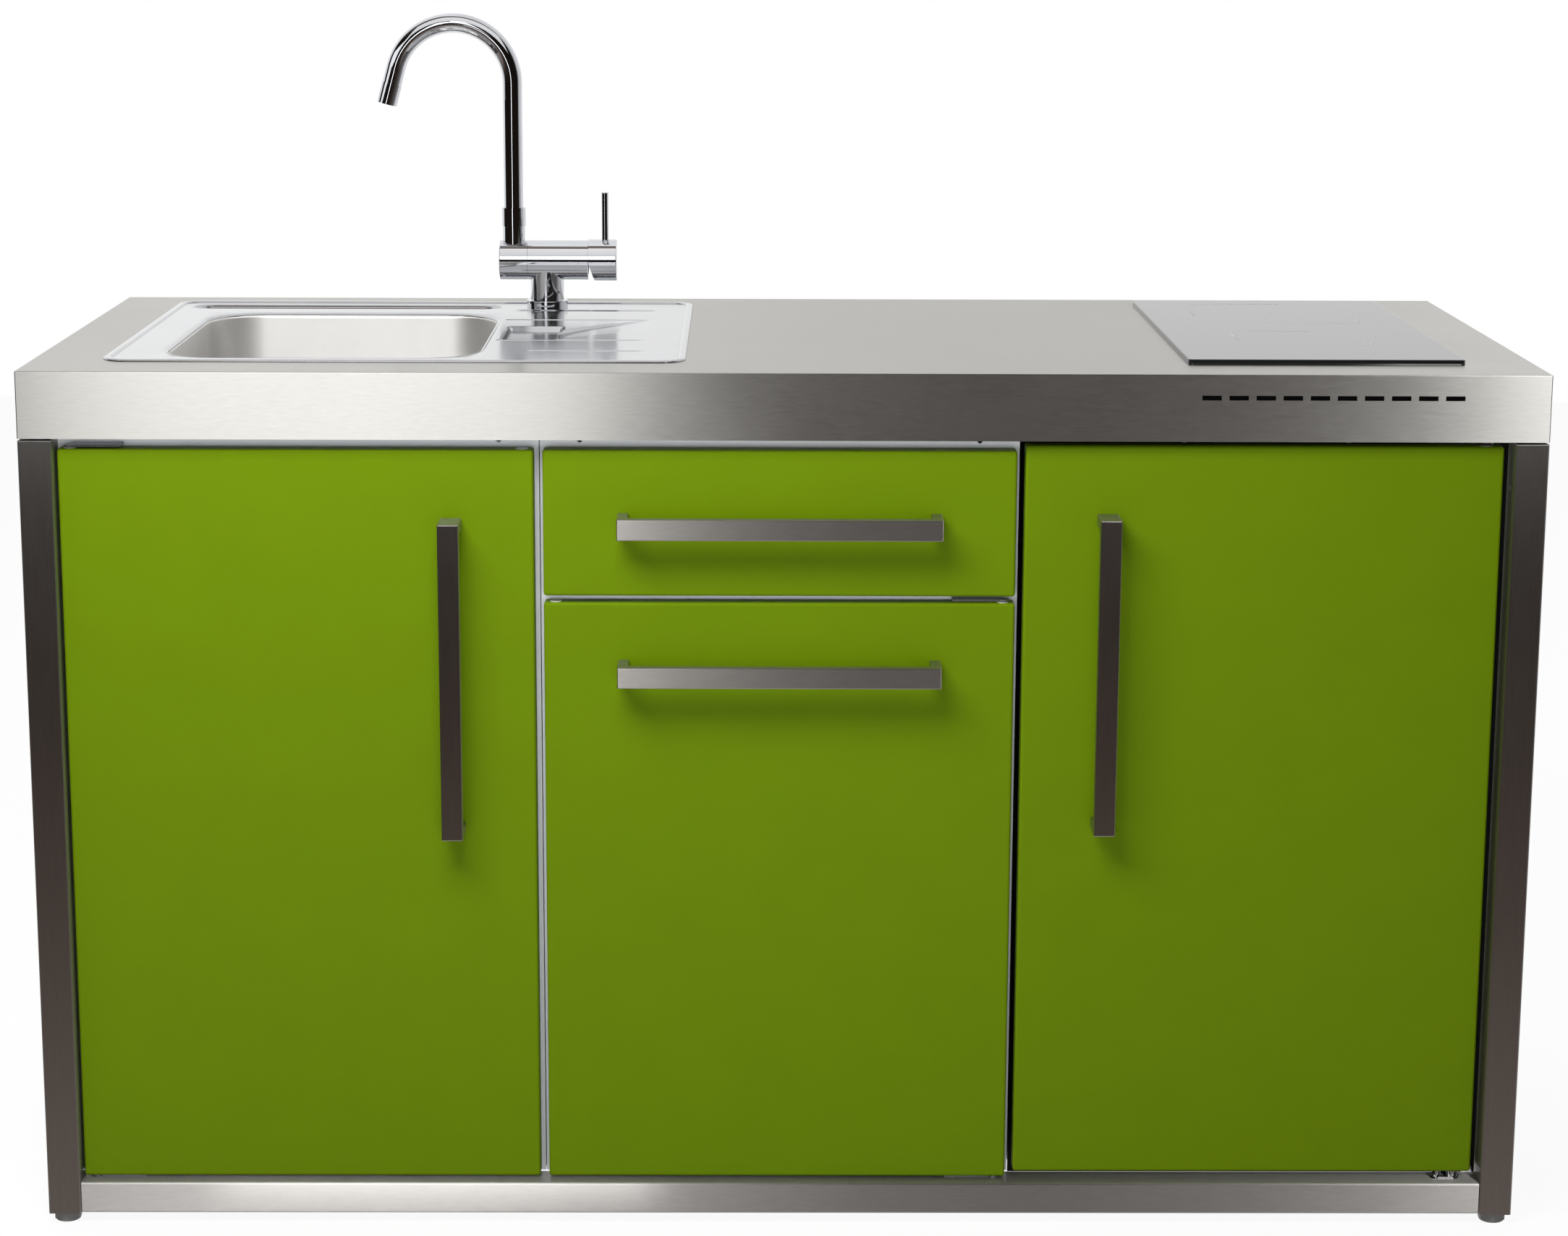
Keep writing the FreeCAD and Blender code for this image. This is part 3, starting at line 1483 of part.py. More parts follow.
def fridge_shelves():
    """Return the glass shelves, which fit between the liner's walls."""
    solids = []
    for share in fridge_shelf_heights_share:
        z = liner_bottom + (liner_top - liner_bottom) * share
        solids.append(box(
            liner_x0 + seat_gap, liner_x1 - seat_gap, fridge_y0 + fridge_shelf_setback, liner_y1 - seat_gap,
            z, z + fridge_shelf_glass,
        ))
    return group(solids)


def fridge_crisper():
    """Return the open vegetable box on the liner's floor, before the machine step."""
    i = crisper_inset
    s = crisper_sheet
    a, b = liner_x0 + i, liner_x1 - i
    y0, y1 = fridge_y0 + fridge_shelf_setback, step_y - seat_gap
    tray = box(a, b, y0, y1, liner_bottom, liner_bottom + crisper_height)
    hollow = box(a + s, b - s, y0 + s, y1 - s, liner_bottom + s, liner_bottom + crisper_height + overrun)
    return tray.cut(hollow)


def fridge_compressor():
    """Return the compressor on rubber feet and its tray, which lies on the rear rail."""
    x = (fridge_x0 + fridge_x1) / 2
    y = fridge_y1 - machine_depth / 2
    tray_top = rail_top + machine_tray
    base = tray_top + compressor_foot_height
    tray = box(
        fridge_x0, fridge_x1, fridge_y1 - machine_depth + snug_gap, y_back - rail_setback, rail_top, tray_top,
    )
    pot = rod(compressor_radius, V(x, y, base), V(x, y, base + compressor_height))
    pot = fillet(pot, compressor_radius / 2, lambda b: same(b.ZLength, 0) and b.XLength > compressor_radius)
    foot_span = compressor_radius * math.sqrt(0.5)
    feet = []
    for sx in (-1, 1):
        for sy in (-1, 1):
            spot = V(x + sx * foot_span, y + sy * foot_span, 0)
            feet.append(rod(compressor_foot_radius, spot + UP * tray_top, spot + UP * base))
    plate = box(x - foot_span - compressor_foot_radius, x + foot_span + compressor_foot_radius,
                y - foot_span - compressor_foot_radius, y + foot_span + compressor_foot_radius,
                base, base + machine_tray)
    return group([tray, fuse([pot, plate])] + feet)


def thermostat_knob():
    """Return the thermostat's knob on the liner's right wall, with a pointer ridge."""
    spot = knob_place()
    inner = spot - V(seat_gap, 0, 0)
    face = inner - V(knob_height, 0, 0)
    knob = rod(knob_radius, inner, face)
    half = knob_pointer_width / 2
    reach = math.sqrt(knob_radius ** 2 - half ** 2) - snug_gap
    ridge = box(
        face.x - knob_pointer_height, face.x + overrun, spot.y - half, spot.y + half,
        spot.z - reach, spot.z + reach,
    )
    return fuse([knob, ridge])


def fridge_door_skin():
    """Return the fridge's front sheet with the holes for pivot and handle."""
    holes = bush_holes(fridge_pivot_x, fridge_door_bottom, fridge_door_top, fridge_bush_radius + snug_gap)
    return door_skin(
        fridge_door_x0, fridge_door_x1, fridge_door_bottom, fridge_door_top,
        holes + handle_cutters("fridge_door"),
    )


def fridge_door_bushes():
    """Return the two pivot bushes of the fridge door."""
    sizes = (fridge_pin_radius, fridge_bush_radius, fridge_bush_flange_radius)
    return group([
        bush(fridge_pivot_x, fridge_door_top, 1, *sizes),
        bush(fridge_pivot_x, fridge_door_bottom, -1, *sizes),
    ])


def fridge_door_span():
    """Return the inner door's left, right, bottom and top."""
    i = fridge_door_inset
    return fridge_door_x0 + i, fridge_pivot_x - seat_gap, fridge_door_bottom + i, fridge_door_top - i


def fridge_door_inner_liner():
    """Return the inner door, a hollow moulding behind the front sheet."""
    a, b, z0, z1 = fridge_door_span()
    s = liner_sheet
    block = box(a, b, door_y1 - inner_pan_sheet, gasket_y0, z0, z1)
    hollow = box(a + s, b - s, door_y1 - inner_pan_sheet - overrun, gasket_y0 - s, z0 + s, z1 - s)
    w = door_sheet + snug_gap
    sheet = box(
        fridge_door_x0 + w, fridge_door_x1 - w, door_y1 - inner_pan_sheet, door_y1,
        fridge_door_bottom + w, fridge_door_top - w,
    )
    window = box(a + s, b - s, door_y1 - inner_pan_sheet - overrun, door_y1 + overrun, z0 + s, z1 - s)
    return fuse([block.cut(hollow), sheet.cut(window)])


def fridge_door_gasket():
    """Return the hollow magnetic seal round the inner door."""
    a, b, z0, z1 = fridge_door_span()
    w = gasket_width
    ring = box(a, b, gasket_y0, gasket_y1, z0, z1)
    ring = ring.cut(box(a + w, b - w, gasket_y0 - overrun, gasket_y1 + overrun, z0 + w, z1 - w))
    return ring


def fridge_door_bins():
    """Return the open bins on the inner door."""
    a, b, low, high = fridge_door_span()
    i = bin_inset
    s = bin_sheet
    solids = []
    for share in bin_heights_share:
        z0 = low + gasket_width + (high - low) * share
        y1 = gasket_y0 + bin_depth
        tray = box(a + i, b - i, gasket_y0, y1, z0, z0 + bin_height)
        hollow = box(a + i + s, b - i - s, gasket_y0 + s, y1 - s, z0 + s, z0 + bin_height + overrun)
        solids.append(tray.cut(hollow))
    return group(solids)


def fridge_door_hinges():
    """Return the upper and lower hinge plates of the fridge with their pins."""
    x = fridge_pivot_x
    half = fridge_plate_width / 2
    solids = []
    upper = fridge_door_top + bush_flange + hinge_running_gap
    arm = box(x - half, x + half, pivot_y, fridge_y0 + fridge_wall, upper, upper + hinge_plate)
    head = rod(half, V(x, pivot_y, upper), V(x, pivot_y, upper + hinge_plate))
    pin_top = V(x, pivot_y, upper + hinge_plate)
    pin = rod(fridge_pin_radius, pin_top, V(x, pivot_y, fridge_door_top - fridge_pin_length))
    spacer = box(x - half, x + half, fridge_y0, fridge_y0 + fridge_wall, fridge_top, upper)
    solids.append(fuse([arm, head, pin, spacer]))
    lower = rail_top + hinge_plate
    stop = x - fridge_stop_post
    plate = box(stop, x, pivot_y - half, pivot_y + half, rail_top, lower)
    ends = [rod(half, V(spot, pivot_y, rail_top), V(spot, pivot_y, lower)) for spot in (stop, x)]
    washer_top = fridge_door_bottom - bush_flange - hinge_running_gap
    post = rod(fridge_stop_radius, V(stop, pivot_y, rail_top), V(stop, pivot_y, washer_top))
    collar = rod(fridge_collar_radius, V(x, pivot_y, rail_top), V(x, pivot_y, washer_top))
    foot_pin = rod(
        fridge_pin_radius, V(x, pivot_y, rail_top), V(x, pivot_y, fridge_door_bottom + fridge_pin_length),
    )
    solids.append(fuse([plate, post, collar, foot_pin] + ends))
    return group(solids)


def frame_nodes():
    """Return the nodes of the frame and the feet."""
    nodes = {"frame_leg_" + name: leg(x0, y0) for name, x0, y0 in leg_corners()}
    nodes["frame_rail_front"] = cross_rail(y_front + rail_setback)
    nodes["frame_rail_rear"] = cross_rail(y_back - rail_setback - tube_side)
    nodes["frame_side_rails"] = side_rails()
    nodes["leg_plugs"] = leg_plugs()
    nodes["levelling_feet"] = levelling_feet()
    return nodes


def worktop_nodes():
    """Return the nodes of the worktop, the sink and the hob."""
    return {
        "worktop": worktop(),
        "worktop_stiffeners": stiffeners(),
        "sink": sink(),
        "sink_waste": sink_waste(),
        "sink_strainer": sink_strainer(),
        "waste_trap": waste_trap(),
        "hob_glass": hob_glass_plate(),
        "hob_case": hob_case(),
        "hob_coils": hob_coils(),
    }


def tap_nodes():
    """Return the nodes of the tap."""
    return {
        "tap_base": tap_base(),
        "tap_fixing": tap_fixing(),
        "tap_body": tap_body(),
        "spout_socket": spout_socket(),
        "spout": spout(),
        "aerator": aerator(),
        "mixer_cartridge": mixer_cartridge(),
        "mixer_cap": mixer_cap(),
        "mixer_lever": mixer_lever(),
    }


def cabinet_nodes():
    """Return the nodes of the two cabinets, their doors and the drawer."""
    nodes = {
        "left_carcass": left_carcass(),
        "centre_carcass": centre_carcass(),
        "cabinet_shelves": group(shelf(left_x0) + shelf(centre_x0)),
        "fixings": group(frame_screws() + fridge_fixing_screws()),
        "cabinet_door_hinges": cabinet_door_hinges(),
        "left_door_handle": handle("left_door"),
        "centre_door_handle": handle("centre_door"),
        "drawer_handle": handle("drawer"),
        "drawer_front": drawer_front(),
        "drawer_box": drawer_box(),
        "runner_cabinet_members": runner_cabinet_members(),
        "runner_middle_members": runner_middle_members(),
        "runner_drawer_members": runner_drawer_members(),
    }
    nodes.update(cabinet_door(
        "left_door", left_door_x[0], left_door_x[1], front_top, left_pivot_x,
        left_door_x[1] - pivot_inset, handle_cutters("left_door"),
    ))
    nodes.update(cabinet_door(
        "centre_door", centre_door_x[0], centre_door_x[1], centre_door_top, centre_pivot_x,
        centre_door_x[0] + pivot_inset, handle_cutters("centre_door"),
    ))
    return nodes


def fridge_nodes():
    """Return the nodes of the fridge."""
    return {
        "fridge_casing": fridge_casing(),
        "fridge_liner": fridge_liner(),
        "fridge_evaporator": fridge_evaporator(),
        "fridge_shelves": fridge_shelves(),
        "fridge_crisper": fridge_crisper(),
        "fridge_compressor": fridge_compressor(),
        "thermostat_knob": thermostat_knob(),
        "fridge_door_hinges": fridge_door_hinges(),
        "fridge_door_skin": fridge_door_skin(),
        "fridge_door_inner": fridge_door_inner_liner(),
        "fridge_door_handle": handle("fridge_door"),
        "fridge_door_gasket": fridge_door_gasket(),
        "fridge_door_bins": fridge_door_bins(),
        "fridge_door_bushes": fridge_door_bushes(),
    }


def main():
    """Build every node and write one STEP file for each."""
    os.makedirs("parts", exist_ok=True)
    nodes = {}
    for make in (frame_nodes, worktop_nodes, tap_nodes, cabinet_nodes, fridge_nodes):
        nodes.update(make())
    for name, shape in nodes.items():
        shape.exportStep("parts/" + name + ".step")
    print(len(nodes), "nodes written")


main()
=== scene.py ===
"""Dress an outdoor kitchen unit: a finish for every piece, and the pieces that need finer meshes."""

import json
import logging
import math
from collections.abc import Callable, Iterable, Mapping, Sequence
from dataclasses import dataclass, field
from enum import Enum
from functools import cache

import bmesh
import bpy
from mathutils import Matrix, Vector

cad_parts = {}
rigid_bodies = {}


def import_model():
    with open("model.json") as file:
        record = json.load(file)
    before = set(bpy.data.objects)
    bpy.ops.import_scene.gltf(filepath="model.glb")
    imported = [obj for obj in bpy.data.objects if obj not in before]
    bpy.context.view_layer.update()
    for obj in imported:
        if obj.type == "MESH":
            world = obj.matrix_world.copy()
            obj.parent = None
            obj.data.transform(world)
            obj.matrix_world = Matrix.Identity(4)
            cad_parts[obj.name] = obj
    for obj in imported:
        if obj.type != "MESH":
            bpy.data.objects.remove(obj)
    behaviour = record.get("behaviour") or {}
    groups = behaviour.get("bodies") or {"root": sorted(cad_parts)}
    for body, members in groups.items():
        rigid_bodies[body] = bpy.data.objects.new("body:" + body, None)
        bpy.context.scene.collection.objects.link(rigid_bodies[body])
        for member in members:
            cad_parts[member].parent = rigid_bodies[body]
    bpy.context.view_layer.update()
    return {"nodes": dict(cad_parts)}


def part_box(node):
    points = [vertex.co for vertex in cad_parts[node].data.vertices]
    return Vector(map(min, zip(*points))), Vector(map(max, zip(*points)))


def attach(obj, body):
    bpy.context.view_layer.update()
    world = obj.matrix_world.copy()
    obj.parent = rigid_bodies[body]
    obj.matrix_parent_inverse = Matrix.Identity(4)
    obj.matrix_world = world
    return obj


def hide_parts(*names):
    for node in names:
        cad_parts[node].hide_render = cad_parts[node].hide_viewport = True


LOG = logging.getLogger("kitchen_unit")
FLOOR = "floor"
MM = 0.001
QUARTER_TURN = math.pi / 2
FULL_TURN_DEG = 360.0
HALF_TURN_DEG = 180.0
# Places closer together than this, in millimetres, are the same.
SAME_PLACE = 1e-4
# Noise seldom leaves this stretch, so it is what the colours and the gloss span.
PATTERN_ENDS = (0.25, 0.75)
# What a square metre of a window needs to look as bright as a level of 1.
WINDOW_WATTS = 4.0
# Where the softboxes that light the whole unit point, in metres.
UNIT_MIDDLE = (0.0, 0.0, 0.6)

Colour = tuple[float, float, float, float]
Pair = tuple[float, float]
Triple = tuple[float, float, float]
Tree = bpy.types.NodeTree
Socket = bpy.types.NodeSocket
Piece = bpy.types.Object
Shape = bmesh.types.BMesh
Face = bmesh.types.BMFace
Edge = bmesh.types.BMEdge
Vert = bmesh.types.BMVert


def linear(code: str) -> Colour:
    """Turn an sRGB hex value into a linear colour.

    Args:
        code: six hex digits, two for each of red, green and blue.

    Returns:
        The linear colour with an alpha of one.
    """
    channels = [int(code[i:i + 2], 16) / 255 for i in (0, 2, 4)]
    knee, slope, lift, power = 0.04045, 12.92, 0.055, 2.4
    values = [c / slope if c <= knee else ((c + lift) / (1 + lift)) ** power for c in channels]
    return (values[0], values[1], values[2], 1.0)


def grey(level: float) -> Colour:
    """Return a neutral linear colour of that level."""
    return (level, level, level, 1.0)


def add_node(
    tree: Tree, kind: str, inputs: Mapping[int | str, object] | None = None, **settings: object,
) -> bpy.types.Node:
    """Add a node with its settings, and feed its inputs.

    Args:
        tree: the node tree.
        kind: the node's type, without its leading ShaderNode.
        inputs: for each input, by name or place, a value or the output that feeds it.
        settings: the node's own properties.

    Returns:
        The node.
    """
    node = tree.nodes.new("ShaderNode" + kind)
    for name, value in settings.items():
        setattr(node, name, value)
    for name, value in (inputs or {}).items():
        if isinstance(value, Socket):
            tree.links.new(value, node.inputs[name])
        else:
            node.inputs[name].default_value = value
    return node


def fill_ramp(node: bpy.types.Node, stops: Sequence[tuple[float, Colour]]) -> None:
    """Give a colour ramp its stops.

    Args:
        node: the ramp node.
        stops: pairs of place, from 0 to 1, and colour.
    """
    elements = node.color_ramp.elements
    elements.remove(elements[1])
    elements[0].position, elements[0].color = stops[0]
    for place, colour in stops[1:]:
        elements.new(place).color = colour


def stops_by_angle(
    levels: Iterable[Pair], whole_deg: float, colour: Callable[[float], Colour],
) -> list[tuple[float, Colour]]:
    """Turn levels that are given by angle into the stops of a colour ramp.

    Args:
        levels: pairs of angle, in degrees from the ramp's middle, and level.
        whole_deg: the angle that the whole ramp spans.
        colour: what gives a level its colour.

    Returns:
        The stops.
    """
    return [(0.5 + angle / whole_deg, colour(level)) for angle, level in levels]


class Axis(Enum):
    """A direction that brush lines run along, a hair off the unit's own, so that no face is square to it."""

    X = (1.0, 0.0, 0.01)
    Y = (0.0, 1.0, 0.01)
    Z = (0.01, 0.0, 1.0)


@dataclass(frozen=True)
class Finish:
    """A surface that a piece leaves the workshop with. Each kind of finish builds its own nodes.

    The spread is the share by which colour and gloss vary over the surface, in clouds of a size in
    millimetres. The texture is its fine relief: the size and the depth are in millimetres.
    """

    name: str
    slot: str
    colour: str
    roughness: float
    spread: float = 0.05
    cloud: float = 60.0
    cloud_detail: float = 4.0
    texture: float = 1.0
    texture_detail: float = 2.0
    texture_depth: float = 0.03
    texture_strength: float = 0.3

    def surface(self) -> dict[str, float]:
        """Return the shader's own values for this kind of finish."""
        return {}

    def tangent(self, tree: Tree) -> Socket | None:
        """Return the direction that lies across the grain, if this kind of finish has a grain."""
        return None

    def pattern(self, tree: Tree, place: Socket) -> Socket:
        """Return the pattern, from 0 to 1, that shades the colour and the gloss.

        Args:
            tree: the node tree.
            place: the place on the piece.

        Returns:
            The pattern.
        """
        clouds = add_node(tree, "TexNoise", {
            "Vector": place, "Scale": 1 / (self.cloud * MM), "Detail": self.cloud_detail,
        })
        return clouds.outputs["Fac"]

    def relief(self, tree: Tree, place: Socket) -> Socket:
        """Return the height of the texture, from 0 to 1.

        Args:
            tree: the node tree.
            place: the place on the piece.

        Returns:
            The height.
        """
        height = add_node(tree, "TexNoise", {
            "Vector": place, "Scale": 1 / (self.texture * MM), "Detail": self.texture_detail,
        })
        return height.outputs["Fac"]

    @cache
    def build(self) -> bpy.types.Material:
        """Build the material once.

        Returns:
            The material, which reads object coordinates in metres.
        """
        material = bpy.data.materials.new(self.name)
        material.use_nodes = True
        tree = material.node_tree
        tree.nodes.clear()
        place = add_node(tree, "TexCoord").outputs["Object"]
        pattern = self.pattern(tree, place)
        base = linear(self.colour)
        low = tuple(channel * (1 - self.spread) for channel in base[:3]) + (1.0,)
        high = tuple(min(1.0, channel * (1 + self.spread)) for channel in base[:3]) + (1.0,)
        tint = add_node(tree, "ValToRGB", {"Fac": pattern})
        fill_ramp(tint, list(zip(PATTERN_ENDS, (low, high))))
        gloss = add_node(tree, "MapRange", {
            "Value": pattern, "From Min": PATTERN_ENDS[0], "From Max": PATTERN_ENDS[1],
            "To Min": self.roughness * (1 - self.spread), "To Max": self.roughness * (1 + self.spread),
        })
        bump = add_node(tree, "Bump", {
            "Height": self.relief(tree, place), "Distance": self.texture_depth * MM,
            "Strength": self.texture_strength,
        })
        shader = add_node(tree, "BsdfPrincipled", {
            "Base Color": tint.outputs["Color"], "Roughness": gloss.outputs["Result"],
            "Normal": bump.outputs["Normal"], **self.surface(),
        })
        across = self.tangent(tree)
        if across is not None:
            tree.links.new(across, shader.inputs["Tangent"])
        add_node(tree, "OutputMaterial", {"Surface": shader.outputs["BSDF"]})
        return material


@dataclass(frozen=True)
class BrushedSteel(Finish):
    """Chromium-nickel stainless sheet, belt-ground: long fine lines that stretch a highlight across them.

    The lines are coarser than real ones, so that they show.
    """

    cloud: float = 140.0
    cloud_detail: float = 2.0
    texture_strength: float = 0.35
    grain: Axis = Axis.X
    line_width: float = 1.4
    line_length: float = 14.0
    line_detail: float = 3.0
    line_roughness: float = 0.6
    cloud_share: float = 0.35

    def surface(self) -> dict[str, float]:
        """Return a metal with stretched highlights."""
        return {"Metallic": 1.0, "Anisotropic": 1.0}

    def tangent(self, tree: Tree) -> Socket:
        """Return the direction across the grain, on every face of the piece.

        Args:
            tree: the node tree.

        Returns:
            The direction, in the world's frame.
        """
        along = add_node(tree, "CombineXYZ", dict(zip("XYZ", self.grain.value)))
        turned = add_node(tree, "VectorTransform", {"Vector": along.outputs["Vector"]},
                          vector_type="VECTOR", convert_from="OBJECT", convert_to="WORLD")
        normal = add_node(tree, "NewGeometry").outputs["Normal"]
        across = add_node(tree, "VectorMath", {0: normal, 1: turned.outputs["Vector"]},
                          operation="CROSS_PRODUCT")
        return across.outputs["Vector"]

    def pattern(self, tree: Tree, place: Socket) -> Socket:
        """Return the ground lines, with faint clouds where the belt lay on harder.

        Args:
            tree: the node tree.
            place: the place on the piece.

        Returns:
            The pattern, from 0 to 1.
        """
        mixed = add_node(tree, "Mix", {
            "Factor": self.cloud_share, "A": self.relief(tree, place), "B": super().pattern(tree, place),
        }, data_type="FLOAT")
        return mixed.outputs["Result"]

    def relief(self, tree: Tree, place: Socket) -> Socket:
        """Return the ground lines: noise that is drawn out along the grain.

        Args:
            tree: the node tree.
            place: the place on the piece.

        Returns:
            The height, from 0 to 1.
        """
        scale = [1 / (self.line_width * MM)] * 3
        scale[list(Axis).index(self.grain)] = 1 / (self.line_length * MM)
        stretched = add_node(tree, "Mapping", {"Vector": place, "Scale": scale}, vector_type="POINT")
        lines = add_node(tree, "TexNoise", {
            "Vector": stretched.outputs["Vector"], "Scale": 1.0, "Detail": self.line_detail,
            "Roughness": self.line_roughness,
        })
        return lines.outputs["Fac"]


@dataclass(frozen=True)
class FoldedSteel(BrushedSteel):
    """Ground stainless sheet, folded after it was cut: on the turned-down ends the lines run upright."""

    end_share: float = 0.5

    def relief(self, tree: Tree, place: Socket) -> Socket:
        """Return the ground lines, which turn with the sheet at its ends.

        Args:
            tree: the node tree.
            place: the place on the piece.

        Returns:
            The height, from 0 to 1.
        """
        facing = add_node(tree, "TexCoord").outputs["Normal"]
        sideways = add_node(tree, "SeparateXYZ", {"Vector": facing}).outputs["X"]
        square = add_node(tree, "Math", {0: sideways, 1: sideways}, operation="MULTIPLY")
        is_end = add_node(tree, "Math", {0: square.outputs[0], 1: self.end_share}, operation="GREATER_THAN")
        parts = add_node(tree, "SeparateXYZ", {"Vector": place})
        upright = add_node(tree, "CombineXYZ", {"X": parts.outputs["Z"], "Y": parts.outputs["Y"]})
        turned = add_node(tree, "Mix", {
            "Factor": is_end.outputs[0], "A": place, "B": upright.outputs["Vector"],
        }, data_type="VECTOR")
        return super().relief(tree, turned.outputs["Result"])


@dataclass(frozen=True)
class PressedSteel(Finish):
    """Deep-drawn stainless sheet: a smooth metal, with its grit coarser than the real, so that it shows."""

    texture: float = 0.9
    texture_depth: float = 0.02
    texture_strength: float = 0.25

    def surface(self) -> dict[str, float]:
        """Return a metal."""
        return {"Metallic": 1.0}


@dataclass(frozen=True)
class PowderCoat(Finish):
    """Polyester powder, baked on steel sheet: even colour, a satin sheen and a faint orange peel."""

    texture: float = 1.6
    texture_detail: float = 1.0
    texture_depth: float = 0.05
    specular: float = 0.3

    def surface(self) -> dict[str, float]:
        """Return a paint with a restrained sheen."""
        return {"Specular IOR Level": self.specular}


@dataclass(frozen=True)
class Chrome(Finish):
    """Nickel and chrome on polished brass: a clear mirror with the faintest ripple from the polisher."""

    texture: float = 18.0
    texture_detail: float = 1.0
    texture_depth: float = 0.05
    texture_strength: float = 0.05

    def surface(self) -> dict[str, float]:
        """Return a metal."""
        return {"Metallic": 1.0}


@dataclass(frozen=True)
class ZincPlate(Finish):
    """Zinc on steel, plated or hot-dipped: a soft grey metal with crystals under a dull skin.

    Where it is plated they are coarser than real ones, so that they show.
    """

    texture: float = 2.5
    metallic: float = 0.65

    def surface(self) -> dict[str, float]:
        """Return a metal that its oxide dulls."""
        return {"Metallic": self.metallic}

    def pattern(self, tree: Tree, place: Socket) -> Socket:
        """Return the crystals' shades."""
        cells = add_node(tree, "TexVoronoi", {"Vector": place, "Scale": 1 / (self.texture * MM)})
        return cells.outputs["Color"]


@dataclass(frozen=True)
class Plastic(Finish):
    """Injection-moulded polymer: an even colour, with its moulded grain drawn coarser, so that it shows."""

    texture: float = 0.8
    specular: float = 0.4

    def surface(self) -> dict[str, float]:
        """Return a polymer's gloss."""
        return {"Specular IOR Level": self.specular}


@dataclass(frozen=True)
class ClearPart(Finish):
    """A see-through sheet of glass or polystyrene, with faint waves from rolling or moulding."""

    texture: float = 45.0
    texture_detail: float = 1.0
    texture_depth: float = 0.1
    texture_strength: float = 0.2
    ior: float = 1.5

    def surface(self) -> dict[str, float]:
        """Return a clear material."""
        return {"Transmission Weight": 1.0, "IOR": self.ior}


@dataclass(frozen=True)
class CeramicGlass(Finish):
    """Dark glass-ceramic: black in its depth, with the slow waves of a rolled plate and a mirror's gloss."""

    texture: float = 70.0
    texture_detail: float = 1.0
    texture_depth: float = 0.1
    texture_strength: float = 0.1
    ior: float = 1.75

    def surface(self) -> dict[str, float]:
        """Return a glossy black body."""
        return {"IOR": self.ior}


SHEET_STEEL = FoldedSteel("brushed_stainless_sheet", "brushed_stainless", "BFBEBA", 0.3, 0.1)
TUBE_STEEL = BrushedSteel(
    "brushed_stainless_tube", "frame_steel", "BDBBB8", 0.34, 0.1, grain=Axis.Z, line_length=40.0,
)
RAIL_STEEL = BrushedSteel("brushed_stainless_rail", "frame_steel", "C6C4C1", 0.37, 0.1)
SIDE_STEEL = BrushedSteel("brushed_stainless_side_rail", "frame_steel", "BDBBB8", 0.34, 0.08, grain=Axis.Y)
BAR_STEEL = BrushedSteel("brushed_handle_lying", "brushed_stainless", "BFBCB8", 0.3, 0.08)
POST_STEEL = BrushedSteel(
    "brushed_handle_standing", "brushed_stainless", "BFBCB8", 0.3, 0.1, grain=Axis.Z, line_length=40.0,
)
DECK_STEEL = PressedSteel("bright_drawn_stainless", "sink_steel", "BCBDBF", 0.17)
BOWL_STEEL = PressedSteel("satin_drawn_stainless", "sink_steel", "D6D5D3", 0.5)
GREEN_COAT = PowderCoat("green_polyester_coat", "green_powder_coat", "708E08", 0.5, 0.02, specular=0.1)
BLACK_COAT = PowderCoat("black_polyester_coat", "black_paint", "0E0E0E", 0.5, specular=0.2)
WHITE_COAT = PowderCoat("pale_polyester_coat", "carcass_paint", "ECEFF3", 0.5, 0.02, specular=0.4)
TAP_CHROME = Chrome("polished_chrome", "chrome", "CDCFD3", 0.045)
ZINC = ZincPlate("blue_zinc_plate", "zinc_plate", "9DA0A3", 0.38, 0.12)
GALVANISED = ZincPlate("spangled_galvanised_sheet", "galvanised_sheet", "A6A9AB", 0.42, 0.14, texture=14.0)
COPPER = Chrome("rolled_copper_strip", "copper_coil", "B8703E", 0.3, 0.1, texture=3.0)
WHITE_PLASTIC = Plastic("white_moulded_plastic", "white_plastic", "E6E6E2", 0.45, 0.02)
GREY_PLASTIC = Plastic("grey_moulded_plastic", "grey_plastic", "8A8A89", 0.5, 0.04)
BLACK_PLASTIC = Plastic("black_moulded_plastic", "black_plastic", "161616", 0.5)
CLEAR_PLASTIC = ClearPart("clear_polystyrene", "clear_plastic", "E8F1F4", 0.08, 0.03, ior=1.57)
SHELF_GLASS = ClearPart("float_glass", "shelf_glass", "E4F2EE", 0.02, 0.02, ior=1.52)
RUBBER = Plastic("grey_seal_rubber", "seal_rubber", "B4B6B8", 0.7, 0.04, specular=0.25)
BLACK_PAINT = PowderCoat("black_compressor_paint", "black_paint", "121212", 0.4, specular=0.5)
HOB_GLASS = CeramicGlass("dark_glass_ceramic", "black_glass", "202122", 0.06)
PRINT = Plastic("pale_ceramic_ink", "white_plastic", "C6C6C4", 0.5, 0.03)
# Black behind the vent slots: painted shade for the dark inside them.
SLOT_SHADE = Plastic("black_slot_shade", "black_plastic", "0A0A0A", 0.8, 0.1, specular=0.1)


class LightGroup(Enum):
    """The pieces that a lamp lights alone, because what suits one metal burns out on another."""

    GROUND = "ground_metal"
    POLISHED = "polished_metal"
    DRAWN = "drawn_metal"
    LOW = "rail_metal"
    PALE = "pale_coat"


